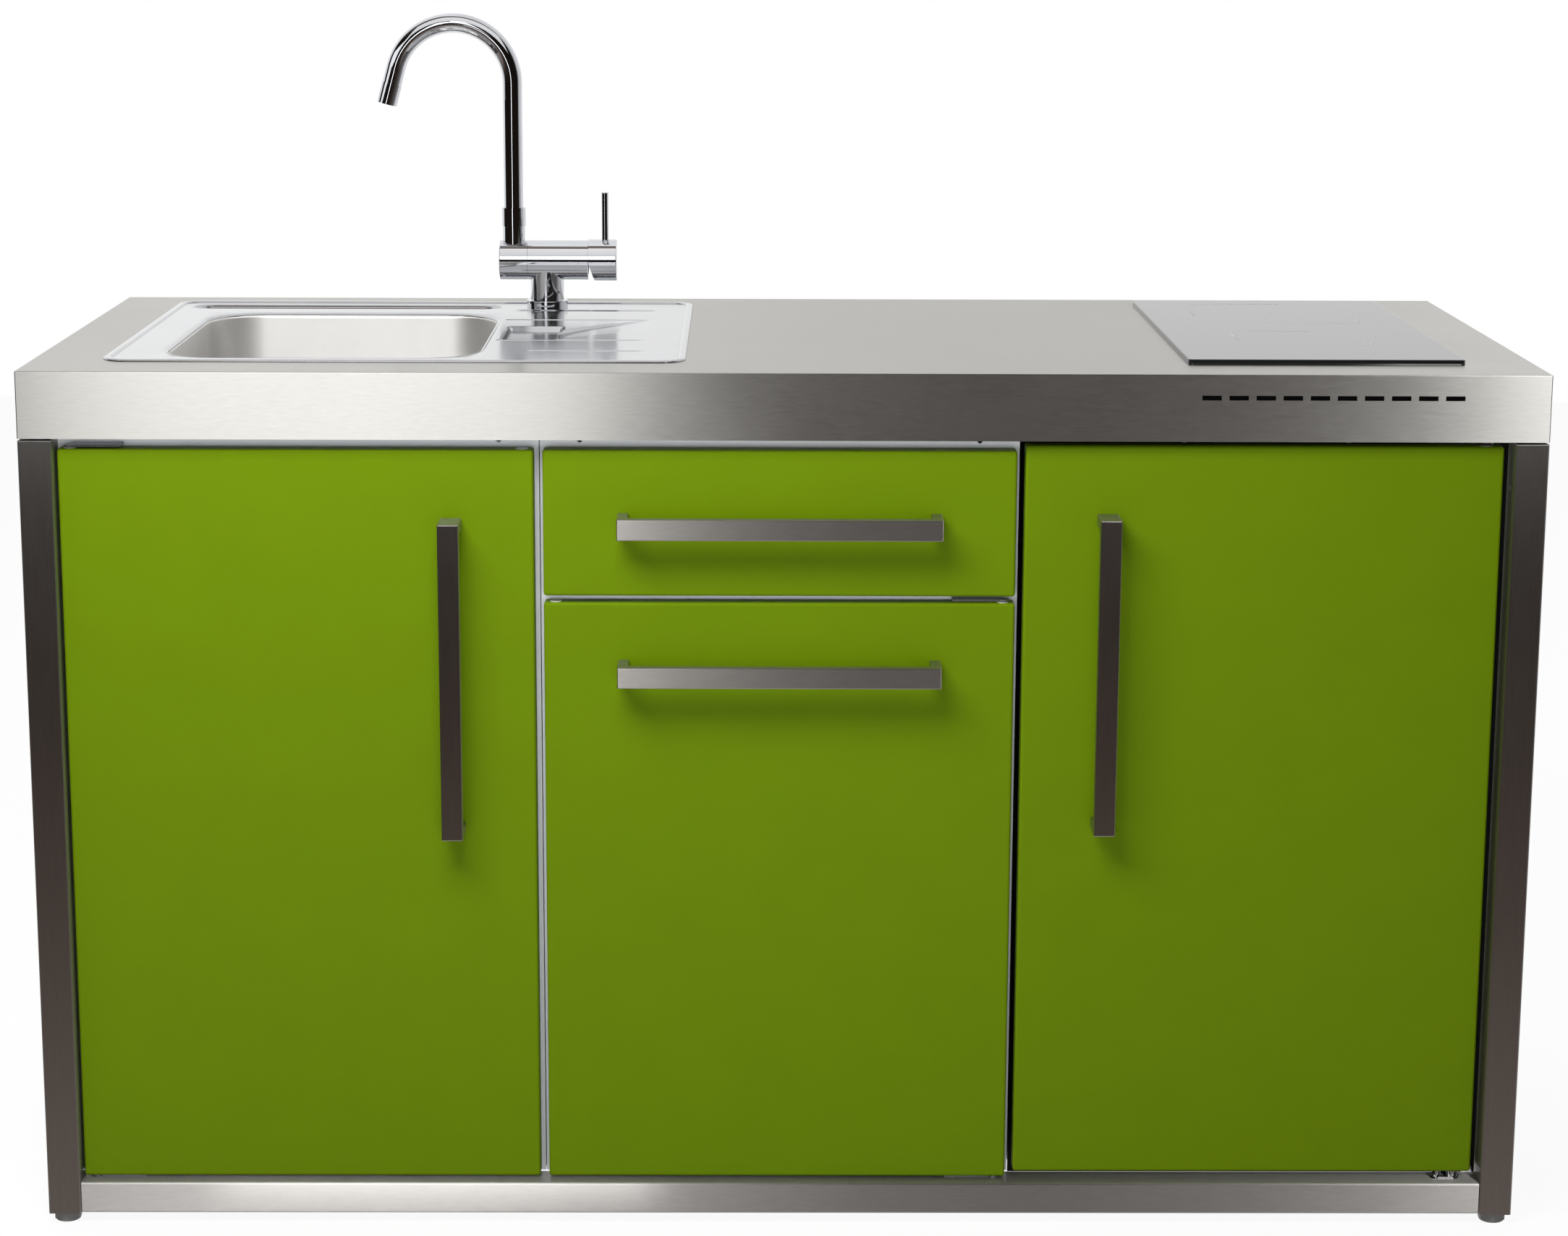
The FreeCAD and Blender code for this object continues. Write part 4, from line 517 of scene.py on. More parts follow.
GROUP_FINISHES: dict[LightGroup, tuple[Finish, ...]] = {
    LightGroup.GROUND: (SHEET_STEEL, TUBE_STEEL, RAIL_STEEL, SIDE_STEEL, BAR_STEEL, POST_STEEL),
    LightGroup.POLISHED: (TAP_CHROME, DECK_STEEL),
    LightGroup.DRAWN: (BOWL_STEEL,),
    LightGroup.LOW: (RAIL_STEEL,),
    LightGroup.PALE: (WHITE_COAT,),
}


@dataclass(frozen=True)
class Softbox:
    """A rectangular lamp that lights the unit and that no metal mirrors. Lengths are in metres."""

    name: str
    place: Triple
    target: Triple
    size: Pair
    level: float
    group: LightGroup | None = None

    def watts(self) -> float:
        """Return the lamp's power, which is a softbox's level."""
        return self.level

    def hang(self) -> bpy.types.Object:
        """Hang the lamp, facing its target and hidden from the camera and from metal.

        Returns:
            The lamp.
        """
        data = bpy.data.lights.new(self.name, "AREA")
        data.shape = "RECTANGLE"
        data.size, data.size_y = self.size
        data.energy = self.watts()
        lamp = bpy.data.objects.new(self.name, data)
        bpy.context.scene.collection.objects.link(lamp)
        lamp.location = self.place
        lamp.rotation_euler = (Vector(self.target) - Vector(self.place)).to_track_quat("-Z", "Y").to_euler()
        lamp.visible_camera = False
        lamp.visible_glossy = False
        return lamp


@dataclass(frozen=True)
class Window(Softbox):
    """A bright rectangle that only metal mirrors, and its level is how bright it looks there."""

    def watts(self) -> float:
        """Return the power that gives a rectangle of this size its level."""
        return self.level * WINDOW_WATTS * self.size[0] * self.size[1]

    def hang(self) -> bpy.types.Object:
        """Hang the window, hidden from all but metal.

        Returns:
            The lamp.
        """
        lamp = super().hang()
        lamp.visible_glossy = True
        lamp.visible_diffuse = False
        return lamp


LAMPS = (
    Softbox("key_softbox", (-0.55, -1.25, 1.95), UNIT_MIDDLE, (1.2, 0.7), 28.0),
    Softbox("fill_softbox", (-0.2, -3.6, 0.8), UNIT_MIDDLE, (2.4, 1.4), 26.0),
    Softbox("left_softbox", (-3.2, -1.6, 1.8), UNIT_MIDDLE, (1.6, 1.6), 6.0),
    Softbox("right_softbox", (3.2, -1.2, 1.8), UNIT_MIDDLE, (1.6, 1.6), 4.0),
    Softbox("back_softbox", (0.0, 2.6, 2.6), UNIT_MIDDLE, (2.0, 2.0), 14.0),
    Softbox("gap_softbox", (-0.35, -1.6, 0.76), (-0.35, 0.0, 0.87), (1.6, 0.4), 6.0, LightGroup.PALE),
    Window("left_window", (-1.42, -7.0, 3.2), (-1.42, 0.0, 3.2), (1.9, 6.2), 3.25, LightGroup.GROUND),
    Window("right_window", (3.1, -7.0, 3.7), (3.1, 0.0, 3.7), (1.5, 5.2), 6.2, LightGroup.GROUND),
    Window("floor_softbox", (-0.4, -0.95, 0.01), (-0.4, -0.95, 1.0), (0.5, 0.9), 6.5, LightGroup.LOW),
    Window("sink_softbox", (-0.5, -0.2, 2.4), (-0.5, 0.0, 0.0), (1.6, 1.2), 3.2, LightGroup.DRAWN),
    Window("sink_window", (-1.6, -7.0, 4.7), (-1.6, 0.0, 4.7), (2.1, 4.6), 10.0, LightGroup.DRAWN),
    Window("thin_strip", (-1.5, -7.0, 1.8), (-1.5, 0.0, 1.8), (0.7, 3.6), 1.8, LightGroup.POLISHED),
    Window("ceiling_softbox", (0.0, -2.4, 4.2), (0.0, 0.0, 1.0), (7.0, 3.4), 0.8, LightGroup.POLISHED),
    Window("level_window", (-0.65, -7.0, 3.3), (-0.65, 0.0, 3.3), (1.0, 2.9), 1.5, LightGroup.POLISHED),
    Window("side_window", (-4.2, -2.6, 2.5), (-0.3, 0.2, 1.15), (4.0, 1.5), 1.0, LightGroup.POLISHED),
)


@dataclass
class Studio:
    """The pale floor, the soft lights, the room that metal mirrors, and the camera.

    Lengths are in metres, apart from the camera's sensor and lens, which are in millimetres. Shares
    and levels of the room are given by bearing and by rise, in degrees: a bearing of 0 is in front
    of the unit, and a backdrop share of 1 is all backdrop. The room is warm up to the dim level, and
    neutral from a pale span above it.
    """

    sensor: float = 36.0
    lens: float = 74.47
    camera_place: Triple = (-0.0370, -3.5889, 1.4001)
    yaw_deg: float = -0.407
    pitch_deg: float = -11.168
    roll_deg: float = -0.217
    shift_x: float = 0.0083
    shift_y: float = -0.0497
    floor_radius: float = 6.0
    floor_segments: int = 96
    floor_grey: float = 0.5
    floor_glow: float = 1.14
    floor_glow_share: float = 0.8
    full: float = 2.0
    dim_level: float = 0.1
    pale_span: float = 0.35
    dim_tint_shares: Triple = (1.0, 0.74, 0.62)
    backdrop_shares: tuple[Pair, ...] = (
        (-180.0, 1.0), (-112.0, 1.0), (-98.0, 0.0), (70.0, 0.0), (84.0, 0.55), (112.0, 0.6), (128.0, 1.0),
    )
    backdrop_levels: tuple[Pair, ...] = (
        (-180.0, 1.04), (-165.0, 1.16), (-140.0, 1.1), (0.0, 1.0), (160.0, 0.98), (180.0, 1.04),
    )
    room_levels: tuple[Pair, ...] = (
        (-90.0, 0.6), (-45.0, 0.45), (-30.0, 0.3), (-22.0, 0.22), (-17.0, 0.09), (-13.0, 0.035),
        (-8.0, 0.02), (-3.0, 0.01), (35.0, 0.01), (45.0, 0.07), (60.0, 0.15), (90.0, 0.3),
    )
    groups: dict[LightGroup, bpy.types.Collection] = field(default_factory=dict)

    def build(self) -> None:
        """Build the whole studio."""
        self.groups = {group: bpy.data.collections.new(group.value) for group in LightGroup}
        self.set_camera()
        self.set_world()
        self.lay_floor()
        for plan in LAMPS:
            lamp = plan.hang()
            if plan.group:
                lamp.light_linking.receiver_collection = self.groups[plan.group]
        bpy.context.scene.view_settings.view_transform = "Standard"

    def set_camera(self) -> None:
        """Place the camera at the photograph's viewing angle."""
        data = bpy.data.cameras.new("camera")
        data.sensor_width = self.sensor
        data.lens = self.lens
        data.shift_x = self.shift_x
        data.shift_y = self.shift_y
        camera = bpy.data.objects.new("camera", data)
        bpy.context.scene.collection.objects.link(camera)
        turn = (
            Matrix.Rotation(math.radians(self.yaw_deg), 4, "Z")
            @ Matrix.Rotation(math.radians(self.pitch_deg), 4, "X")
            @ Matrix.Rotation(math.radians(self.roll_deg), 4, "Y")
            @ Matrix.Rotation(QUARTER_TURN, 4, "X")
        )
        camera.matrix_world = Matrix.Translation(self.camera_place) @ turn
        bpy.context.scene.camera = camera

    def set_world(self) -> None:
        """Give metal a studio to mirror: white behind the unit, a dim room in front, pale above and below."""
        world = bpy.data.worlds.new("studio_world")
        world.use_nodes = True
        tree = world.node_tree
        tree.nodes.clear()
        bpy.context.scene.world = world
        toward = add_node(tree, "TexCoord").outputs["Generated"]
        parts = add_node(tree, "SeparateXYZ", {"Vector": toward})
        ahead = add_node(tree, "Math", {0: parts.outputs["Y"], 1: -1.0}, operation="MULTIPLY")
        bearing = add_node(tree, "Math", {0: parts.outputs["X"], 1: ahead.outputs[0]}, operation="ARCTAN2")
        rise = add_node(tree, "Math", {0: parts.outputs["Z"]}, operation="ARCSINE")
        turn = add_node(tree, "MapRange", {
            "Value": bearing.outputs[0], "From Min": -math.pi, "From Max": math.pi,
        })
        lift = add_node(tree, "MapRange", {
            "Value": rise.outputs[0], "From Min": -QUARTER_TURN, "From Max": QUARTER_TURN,
        })
        beside = add_node(tree, "ValToRGB", {"Fac": turn.outputs["Result"]})
        fill_ramp(beside, stops_by_angle(self.backdrop_shares, FULL_TURN_DEG, grey))
        near = add_node(tree, "ValToRGB", {"Fac": lift.outputs["Result"]})
        fill_ramp(near, stops_by_angle(self.room_levels, HALF_TURN_DEG, self.warm))
        far = add_node(tree, "ValToRGB", {"Fac": turn.outputs["Result"]})
        fill_ramp(far, stops_by_angle(self.backdrop_levels, FULL_TURN_DEG, self.neutral))
        room = add_node(tree, "Mix", {
            "Factor": beside.outputs["Color"], "A": near.outputs["Color"], "B": far.outputs["Color"],
        }, data_type="RGBA")
        path = add_node(tree, "LightPath")
        looked = add_node(tree, "Math", {
            0: path.outputs["Is Camera Ray"], 1: path.outputs["Is Transmission Ray"],
        }, operation="MAXIMUM")
        behind = add_node(tree, "Math", {0: ahead.outputs[0], 1: 0.0}, operation="LESS_THAN")
        mirrored = add_node(tree, "Math", {
            0: path.outputs["Is Glossy Ray"], 1: behind.outputs[0],
        }, operation="MULTIPLY")
        backed = add_node(tree, "Math", {
            0: mirrored.outputs[0], 1: beside.outputs["Color"],
        }, operation="MULTIPLY")
        plain = add_node(tree, "Mix", {
            "Factor": backed.outputs[0], "A": room.outputs["Result"], "B": far.outputs["Color"],
        }, data_type="RGBA")
        studio = add_node(tree, "Mix", {
            "Factor": looked.outputs[0], "A": plain.outputs["Result"], "B": self.neutral(1.0),
        }, data_type="RGBA")
        back = add_node(tree, "Background", {"Color": studio.outputs["Result"], "Strength": self.full})
        add_node(tree, "OutputWorld", {"Surface": back.outputs["Background"]})

    def neutral(self, level: float) -> Colour:
        """Return the backdrop's colour at a level, as a share of the world's full strength."""
        return grey(level / self.full)

    def warm(self, level: float) -> Colour:
        """Return the room's colour at a level: warm where it is dim, and neutral where it is pale.

        Args:
            level: how bright the room is there.

        Returns:
            The colour, as a share of the world's full strength.
        """
        pale = min(1.0, max(0.0, level - self.dim_level) / self.pale_span)
        shares = (share + (1 - share) * pale for share in self.dim_tint_shares)
        return tuple(level * share / self.full for share in shares) + (1.0,)

    def lay_floor(self) -> None:
        """Lay a round pale floor that keeps the unit's soft shadow and that metal looks through."""
        shape = bmesh.new()
        bmesh.ops.create_circle(shape, cap_ends=True, radius=self.floor_radius, segments=self.floor_segments)
        data = bpy.data.meshes.new(FLOOR)
        shape.to_mesh(data)
        shape.free()
        floor = bpy.data.objects.new(FLOOR, data)
        bpy.context.scene.collection.objects.link(floor)
        material = bpy.data.materials.new("pale_floor")
        material.use_nodes = True
        tree = material.node_tree
        tree.nodes.clear()
        matt = add_node(tree, "BsdfDiffuse", {"Color": grey(self.floor_grey)})
        glow = add_node(tree, "Emission", {"Color": grey(1.0), "Strength": self.floor_glow})
        path = add_node(tree, "LightPath")
        share = add_node(tree, "Math", {
            0: path.outputs["Is Camera Ray"], 1: self.floor_glow_share,
        }, operation="MULTIPLY")
        pale = add_node(tree, "MixShader", {0: share.outputs[0], 1: matt.outputs[0], 2: glow.outputs[0]})
        clear = add_node(tree, "BsdfTransparent")
        top = add_node(tree, "MixShader", {
            0: path.outputs["Is Glossy Ray"], 1: pale.outputs[0], 2: clear.outputs[0],
        })
        add_node(tree, "OutputMaterial", {"Surface": top.outputs[0]})
        data.materials.append(material)

    def show_lights_to(self, pieces: Iterable[Piece]) -> None:
        """Put each piece into the groups of lamps that its finishes ask for.

        Args:
            pieces: all pieces of the unit.
        """
        for piece in pieces:
            names = {material.name for material in piece.data.materials if material}
            for group, finishes in GROUP_FINISHES.items():
                if names & {finish.name for finish in finishes}:
                    self.groups[group].objects.link(piece)


def smooth_step(value: float, low: float, high: float) -> float:
    """Return 0 below low, 1 above high, and a soft rise between."""
    share = min(1.0, max(0.0, (value - low) / (high - low)))
    return share * share * (3 - 2 * share)


def between(span: Pair, share: float) -> float:
    """Return the place at a share of the way from the first to the second value."""
    return span[0] + share * (span[1] - span[0])


def finish_piece(
    shape: Shape, name: str, body: str, finish: Finish, replaced: Sequence[str] = (),
    crease_deg: float = 35.0,
) -> Piece:
    """Turn a shape in millimetres into a piece of the unit.

    Args:
        shape: the shape, which is freed.
        name: the piece's name.
        body: the body it moves with.
        finish: its finish.
        replaced: the carried-over pieces that it stands for.
        crease_deg: the angle past which an edge stays sharp.

    Returns:
        The piece, at the origin.
    """
    bmesh.ops.scale(shape, vec=Vector((MM, MM, MM)), verts=shape.verts[:])
    for face in shape.faces:
        face.smooth = True
    for edge in shape.edges:
        edge.smooth = edge.calc_face_angle(0.0) < math.radians(crease_deg)
    data = bpy.data.meshes.new(name)
    shape.to_mesh(data)
    shape.free()
    piece = bpy.data.objects.new(name, data)
    bpy.context.scene.collection.objects.link(piece)
    data.materials.append(finish.build())
    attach(piece, body)
    if replaced:
        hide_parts(*replaced)
    LOG.info("made %s with %d faces in %s", name, len(data.polygons), finish.name)
    return piece


def thicken(piece: Piece, name: str, thickness: float) -> None:
    """Give a sheet its thickness below its outer side.

    Args:
        piece: the sheet.
        name: what the thickness is called.
        thickness: how thick it is, in millimetres.
    """
    wall = piece.modifiers.new(name, "SOLIDIFY")
    wall.thickness = thickness * MM
    wall.offset = -1.0


def rounded_sheet(shape: Shape, low: Pair, high: Pair, z: float, radius: float, segments: int) -> Face:
    """Add a flat face with rounded corners, which looks up.

    Args:
        shape: the shape that gets it.
        low: its lowest x and y.
        high: its highest x and y.
        z: its height.
        radius: the radius of its corners.
        segments: how many edges a corner has.

    Returns:
        The face.
    """
    centre = Vector(((low[0] + high[0]) / 2, (low[1] + high[1]) / 2, z))
    size = Matrix.Diagonal((high[0] - low[0], high[1] - low[1], 1.0, 1.0))
    made = bmesh.ops.create_grid(
        shape, x_segments=1, y_segments=1, size=0.5, matrix=Matrix.Translation(centre) @ size,
    )
    bmesh.ops.bevel(
        shape, geom=made["verts"], affect="VERTICES", offset=radius, segments=segments,
        profile=0.5, material=-1, clamp_overlap=True,
    )
    face = max(
        (f for f in shape.faces if all(abs(v.co.z - z) < SAME_PLACE for v in f.verts)),
        key=lambda f: len(f.verts),
    )
    if face.normal.z < 0:
        bmesh.ops.reverse_faces(shape, faces=[face])
    return face


def step_inwards(shape: Shape, face: Face, profile: Iterable[Pair]) -> None:
    """Draw a face inwards along a profile, ring by ring.

    Args:
        shape: the shape.
        face: the face, which ends up as the innermost one.
        profile: for each ring, how far in and how far up it lies from the first edge.
    """
    done_in, done_up = 0.0, 0.0
    for inward, upward in profile:
        bmesh.ops.inset_region(
            shape, faces=[face], thickness=inward - done_in, depth=upward - done_up,
            use_boundary=True, use_even_offset=True,
        )
        done_in, done_up = inward, upward


def open_face(shape: Shape, face: Face) -> list[Edge]:
    """Take a face away, and keep its edges.

    Args:
        shape: the shape.
        face: the face.

    Returns:
        Its edges.
    """
    edges = list(face.edges)
    bmesh.ops.delete(shape, geom=[face], context="FACES_ONLY")
    return edges


def new_verts(made: Mapping[str, Sequence[object]]) -> list[Vert]:
    """Return the corners among what an extrusion made."""
    return [item for item in made["geom"] if isinstance(item, Vert)]


def border(faces: Iterable[Face]) -> list[Edge]:
    """Return the edges that only one of these faces has.

    Args:
        faces: the faces.

    Returns:
        The edges, in the order in which the faces hold them.
    """
    seen: dict[Edge, int] = {}
    for face in faces:
        for edge in face.edges:
            seen[edge] = seen.get(edge, 0) + 1
    return [edge for edge, count in seen.items() if count == 1]


def graded(start: float, stop: float, pitch: float, dense: Sequence[Triple]) -> list[float]:
    """Return the places of grid lines from start to stop, closer together where the shape needs it.

    Args:
        start: the first line.
        stop: the last line.
        pitch: the usual step between lines.
        dense: stretches with a step of their own, each as its start, its stop and its step. One that
            stops where it starts only adds a line there.

    Returns:
        The places, which hold the start of every stretch.
    """
    places = [start]
    while places[-1] < stop:
        here = places[-1]
        steps = [step for low, high, step in dense if low - SAME_PLACE <= here < high]
        ahead = [low for low, high, step in dense if here < low]
        reach = here + min(steps + [pitch])
        places.append(min([reach, stop] + [low for low in ahead if low < reach]))
    return places


@dataclass
class Assembly:
    """A sub-assembly: it dresses its carried-over pieces, and adds those that need finer meshes."""

    nodes: Mapping[str, Piece]

    def dress(self, finish: Finish, *names: str) -> None:
        """Give carried-over pieces a finish.

        Args:
            finish: what they leave the workshop with.
            names: the pieces' names.
        """
        for name in names:
            data = self.nodes[name].data
            if not data.materials:
                data.materials.append(None)
            for index in range(len(data.materials)):
                data.materials[index] = finish.build()
            LOG.info("dressed %s in %s", name, finish.name)

    def build(self) -> None:
        """Build and dress the sub-assembly."""


@dataclass
class Frame(Assembly):
    """Square tubes of brushed stainless steel on plastic plugs and levelling feet."""

    corners: tuple[str, ...] = ("front_left", "front_right", "rear_left", "rear_right")

    def build(self) -> None:
        """Dress the legs with upright grain and the rails with grain along them."""
        self.dress(TUBE_STEEL, *("frame_leg_" + corner for corner in self.corners))
        self.dress(RAIL_STEEL, "frame_rail_front", "frame_rail_rear")
        self.dress(SIDE_STEEL, "frame_side_rails")
        self.dress(ZINC, "fixings")
        self.dress(GREY_PLASTIC, "levelling_feet")
        self.dress(BLACK_PLASTIC, "leg_plugs")


@dataclass
class Worktop(Assembly):
    """The folded tray with its channels, and a black sheet behind its vents as painted shade.

    The tray's grain runs from side to side. Sizes are in millimetres. The black sheet's left and right
    are measured from the unit's middle, and its drop from the tray's top.
    """

    sheet: float = 1.5
    shade_left: float = 395.0
    shade_right: float = 712.0
    shade_height: float = 24.0
    shade_drop: float = 34.0
    shade_thickness: float = 0.6
    shade_gap: float = 0.2
    shade_bevel: float = 0.15

    def build(self) -> None:
        """Dress the tray and its channels, and put a black sheet behind the vents as painted shade."""
        self.dress(SHEET_STEEL, "worktop")
        self.dress(GALVANISED, "worktop_stiffeners")
        self.shade_vents()

    def shade_vents(self) -> None:
        """Lay a black strip against the inside of the front, behind the slots: painted shade seen through
        them.
        """
        low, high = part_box("worktop")
        front, top = low.y / MM + self.sheet + self.shade_gap, high.z / MM
        middle = Vector((
            (self.shade_left + self.shade_right) / 2, front + self.shade_thickness / 2,
            top - self.shade_drop,
        ))
        size = Matrix.Diagonal((
            self.shade_right - self.shade_left, self.shade_thickness, self.shade_height, 1.0,
        ))
        shape = bmesh.new()
        bmesh.ops.create_cube(shape, size=1.0, matrix=Matrix.Translation(middle) @ size)
        bmesh.ops.bevel(
            shape, geom=shape.edges[:], affect="EDGES", offset=self.shade_bevel, segments=1, profile=0.5,
            material=-1,
        )
        finish_piece(shape, "vent_slot_shade", "unit", SLOT_SHADE)


@dataclass
class Tap(Assembly):
    """The folding mixer tap: everything above the sink is chrome."""

    def build(self) -> None:
        """Dress the tap and what holds it below the sink."""
        self.dress(TAP_CHROME, "tap_base", "tap_body", "spout_socket", "spout", "aerator", "mixer_cap",
                   "mixer_lever")
        self.dress(ZINC, "tap_fixing")
        self.dress(WHITE_PLASTIC, "mixer_cartridge")


@dataclass
class Cabinets(Assembly):
    """The two cabinet modules: pale carcasses behind green fronts."""

    def build(self) -> None:
        """Dress the carcasses, the fronts with their handles, the drawer and the fittings."""
        self.dress(GREEN_COAT, "left_door_skin", "centre_door_skin", "drawer_front")
        self.dress(POST_STEEL, "left_door_handle")
        self.dress(BAR_STEEL, "drawer_handle", "centre_door_handle")
        self.dress(WHITE_COAT, "left_carcass", "centre_carcass", "cabinet_shelves", "left_door_inner",
                   "centre_door_inner")
        self.dress(ZINC, "cabinet_door_hinges", "runner_cabinet_members", "runner_middle_members",
                   "runner_drawer_members")
        self.dress(GALVANISED, "drawer_box")
        self.dress(WHITE_PLASTIC, "left_door_bushes", "centre_door_bushes")


@dataclass
class Fridge(Assembly):
    """The built-in fridge: a black casing round a white cabin, with a green door."""

    def build(self) -> None:
        """Dress the casing, the cabin and the door."""
        self.dress(BLACK_COAT, "fridge_casing")
        self.dress(BLACK_PAINT, "fridge_compressor")
        self.dress(WHITE_PLASTIC, "fridge_liner", "thermostat_knob", "fridge_door_inner")
        self.dress(ZINC, "fridge_evaporator")
        self.dress(SHELF_GLASS, "fridge_shelves")
        self.dress(CLEAR_PLASTIC, "fridge_crisper", "fridge_door_bins")
        self.dress(GREEN_COAT, "fridge_door_skin")
        self.dress(POST_STEEL, "fridge_door_handle")
        self.dress(TAP_CHROME, "fridge_door_hinges")
        self.dress(GREY_PLASTIC, "fridge_door_bushes")
        self.dress(RUBBER, "fridge_door_gasket")


@dataclass
class Sink(Assembly):
    """A sink of drawn stainless sheet: a bead, a bowl, a ledge groove and a drainer with its well.

    Sizes are in millimetres. Places across (u) and along (v) are measured from the sink's left
    and front edges. An ease is the length over which a pressing sinks in or rises again, and a
    pitch is the step between grid lines there.
    """

    corner: float = 26.0
    corner_segments: int = 12
    bead_width: float = 9.0
    bead_rise: float = 1.7
    bead_edge: float = 1.2
    bead_lean_share: float = 0.125
    bead_drop: float = 0.9
    bead_steps: int = 10
    apron: float = 12.0
    field_inset: float = 17.0
    pitch_u: float = 12.0
    pitch_v: float = 9.0
    sheet: float = 0.8
    crease_deg: float = 50.0
    bowl_left: float = 58.0
    bowl_width: float = 330.0
    bowl_front: float = 32.0
    bowl_length: float = 368.0
    bowl_corner: float = 62.0
    bowl_corner_segments: int = 14
    bowl_depth: float = 154.0
    lip_radius: float = 6.0
    lip_steps: int = 6
    draft: float = 4.0
    floor_radius: float = 36.0
    floor_steps: int = 10
    drain_u: float = 223.0
    drain_v: float = 216.0
    drain_radius: float = 45.0
    drain_fall: float = 0.6
    drain_segments: int = 60
    hole_margin: float = 9.0
    ledge_u: Pair = (22.0, 384.0)
    ledge_v: float = 463.0
    ledge_half: float = 20.0
    ledge_depth: float = 6.0
    ledge_ease: float = 6.0
    ledge_margin: Pair = (4.0, 1.0)
    ledge_pitch: Pair = (3.0, 1.8)
    rib_v: tuple[float, ...] = (86.0, 172.5, 345.5)
    rib_u: tuple[Pair, ...] = ((445.0, 570.0), (404.0, 566.0), (401.0, 568.0))
    rib_half: float = 4.5
    rib_depth: float = 1.7
    rib_ease: Pair = (3.0, 30.0)
    rib_margin: float = 1.0
    rib_pitch: float = 1.1
    furrow_v: float = 432.0
    furrow_u: Pair = (402.0, 569.0)
    furrow_half: Pair = (11.0, 5.0)
    furrow_flat_share: float = 0.35
    furrow_depth: float = 1.6
    furrow_ease: Pair = (8.0, 6.0)
    furrow_reach: float = 12.0
    furrow_pitch: float = 2.0
    well_u: Pair = (405.0, 470.0)
    well_v: Pair = (176.0, 290.0)
    pocket_u: Pair = (411.0, 464.0)
    pocket_v: Pair = (183.0, 268.0)
    pocket_depth: float = 4.2
    channel_end: float = 566.0
    channel_rear: Pair = (236.0, 345.0)
    channel_front: Pair = (178.0, 259.0)
    channel_depth: float = 3.4
    channel_bend: float = 0.7
    channel_fade: float = 0.8
    channel_overrun: float = 2.0
    channel_ease: Pair = (12.0, 1.5)
    drainer_margin: Pair = (4.0, 8.0)
    drainer_pitch: float = 1.7
    slot_u: Pair = (432.0, 454.0)
    slot_v: Pair = (180.5, 184.0)
    deck: float = 926.0
    origin: Vector = field(default_factory=Vector)

    def build(self) -> None:
        """Press the sink, and dress its waste, its strainer and its trap."""
        self.dress(BOWL_STEEL, "sink_waste", "sink_strainer")
        self.dress(WHITE_PLASTIC, "waste_trap")
        low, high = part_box("sink")
        self.origin = low / MM
        width, length = (high.x - low.x) / MM, (high.y - low.y) / MM
        shape = bmesh.new()
        rim = self.roll_bead(shape, width, length)
        outer, hole = self.press_field(shape, width, length)
        bmesh.ops.bridge_loops(shape, edges=rim + outer)
        lip = self.draw_bowl(shape)
        bmesh.ops.bridge_loops(shape, edges=hole + lip)
        bmesh.ops.recalc_face_normals(shape, faces=shape.faces[:])
        top = max(shape.faces, key=lambda f: f.calc_center_median().z)
        if top.normal.z < 0:
            bmesh.ops.reverse_faces(shape, faces=shape.faces[:])
        self.part_bowl(shape)

    def roll_bead(self, shape: Shape, width: float, length: float) -> list[Edge]:
        """Roll the bead that runs round the sink, and the narrow apron inside it.

        Args:
            shape: the shape that gets it.
            width: the sink's size across.
            length: its size along.

        Returns:
            The apron's inner edges.
        """
        x0, y0 = self.origin.x, self.origin.y
        rim = rounded_sheet(
            shape, (x0, y0), (x0 + width, y0 + length), self.deck - self.bead_drop, self.corner,
            self.corner_segments,
        )
        lean = self.bead_edge * self.bead_lean_share
        profile = [(lean, self.bead_edge)]
        for step in range(1, self.bead_steps + 1):
            turn = math.pi * step / self.bead_steps
            base = self.bead_edge + (self.bead_drop - self.bead_edge) * step / self.bead_steps
            inward = lean + (self.bead_width - lean) * (1 - math.cos(turn)) / 2
            profile.append((inward, self.bead_rise * math.sin(turn) + base))
        profile.append((self.apron, self.bead_drop))
        step_inwards(shape, rim, profile)
        return open_face(shape, rim)

    def slope(self, value: float, outer: Pair, inner: Pair) -> float:
        """Return how far up a slope a place is, on a field that rises softly at both ends.

        Args:
            value: the place.
            outer: the limits past which it is 0.
            inner: the limits between which it is 1.

        Returns:
            The share, from 0 to 1.
        """
        if value < inner[0]:
            return smooth_step(value, outer[0], inner[0])
        return 1 - smooth_step(value, inner[1], outer[1])

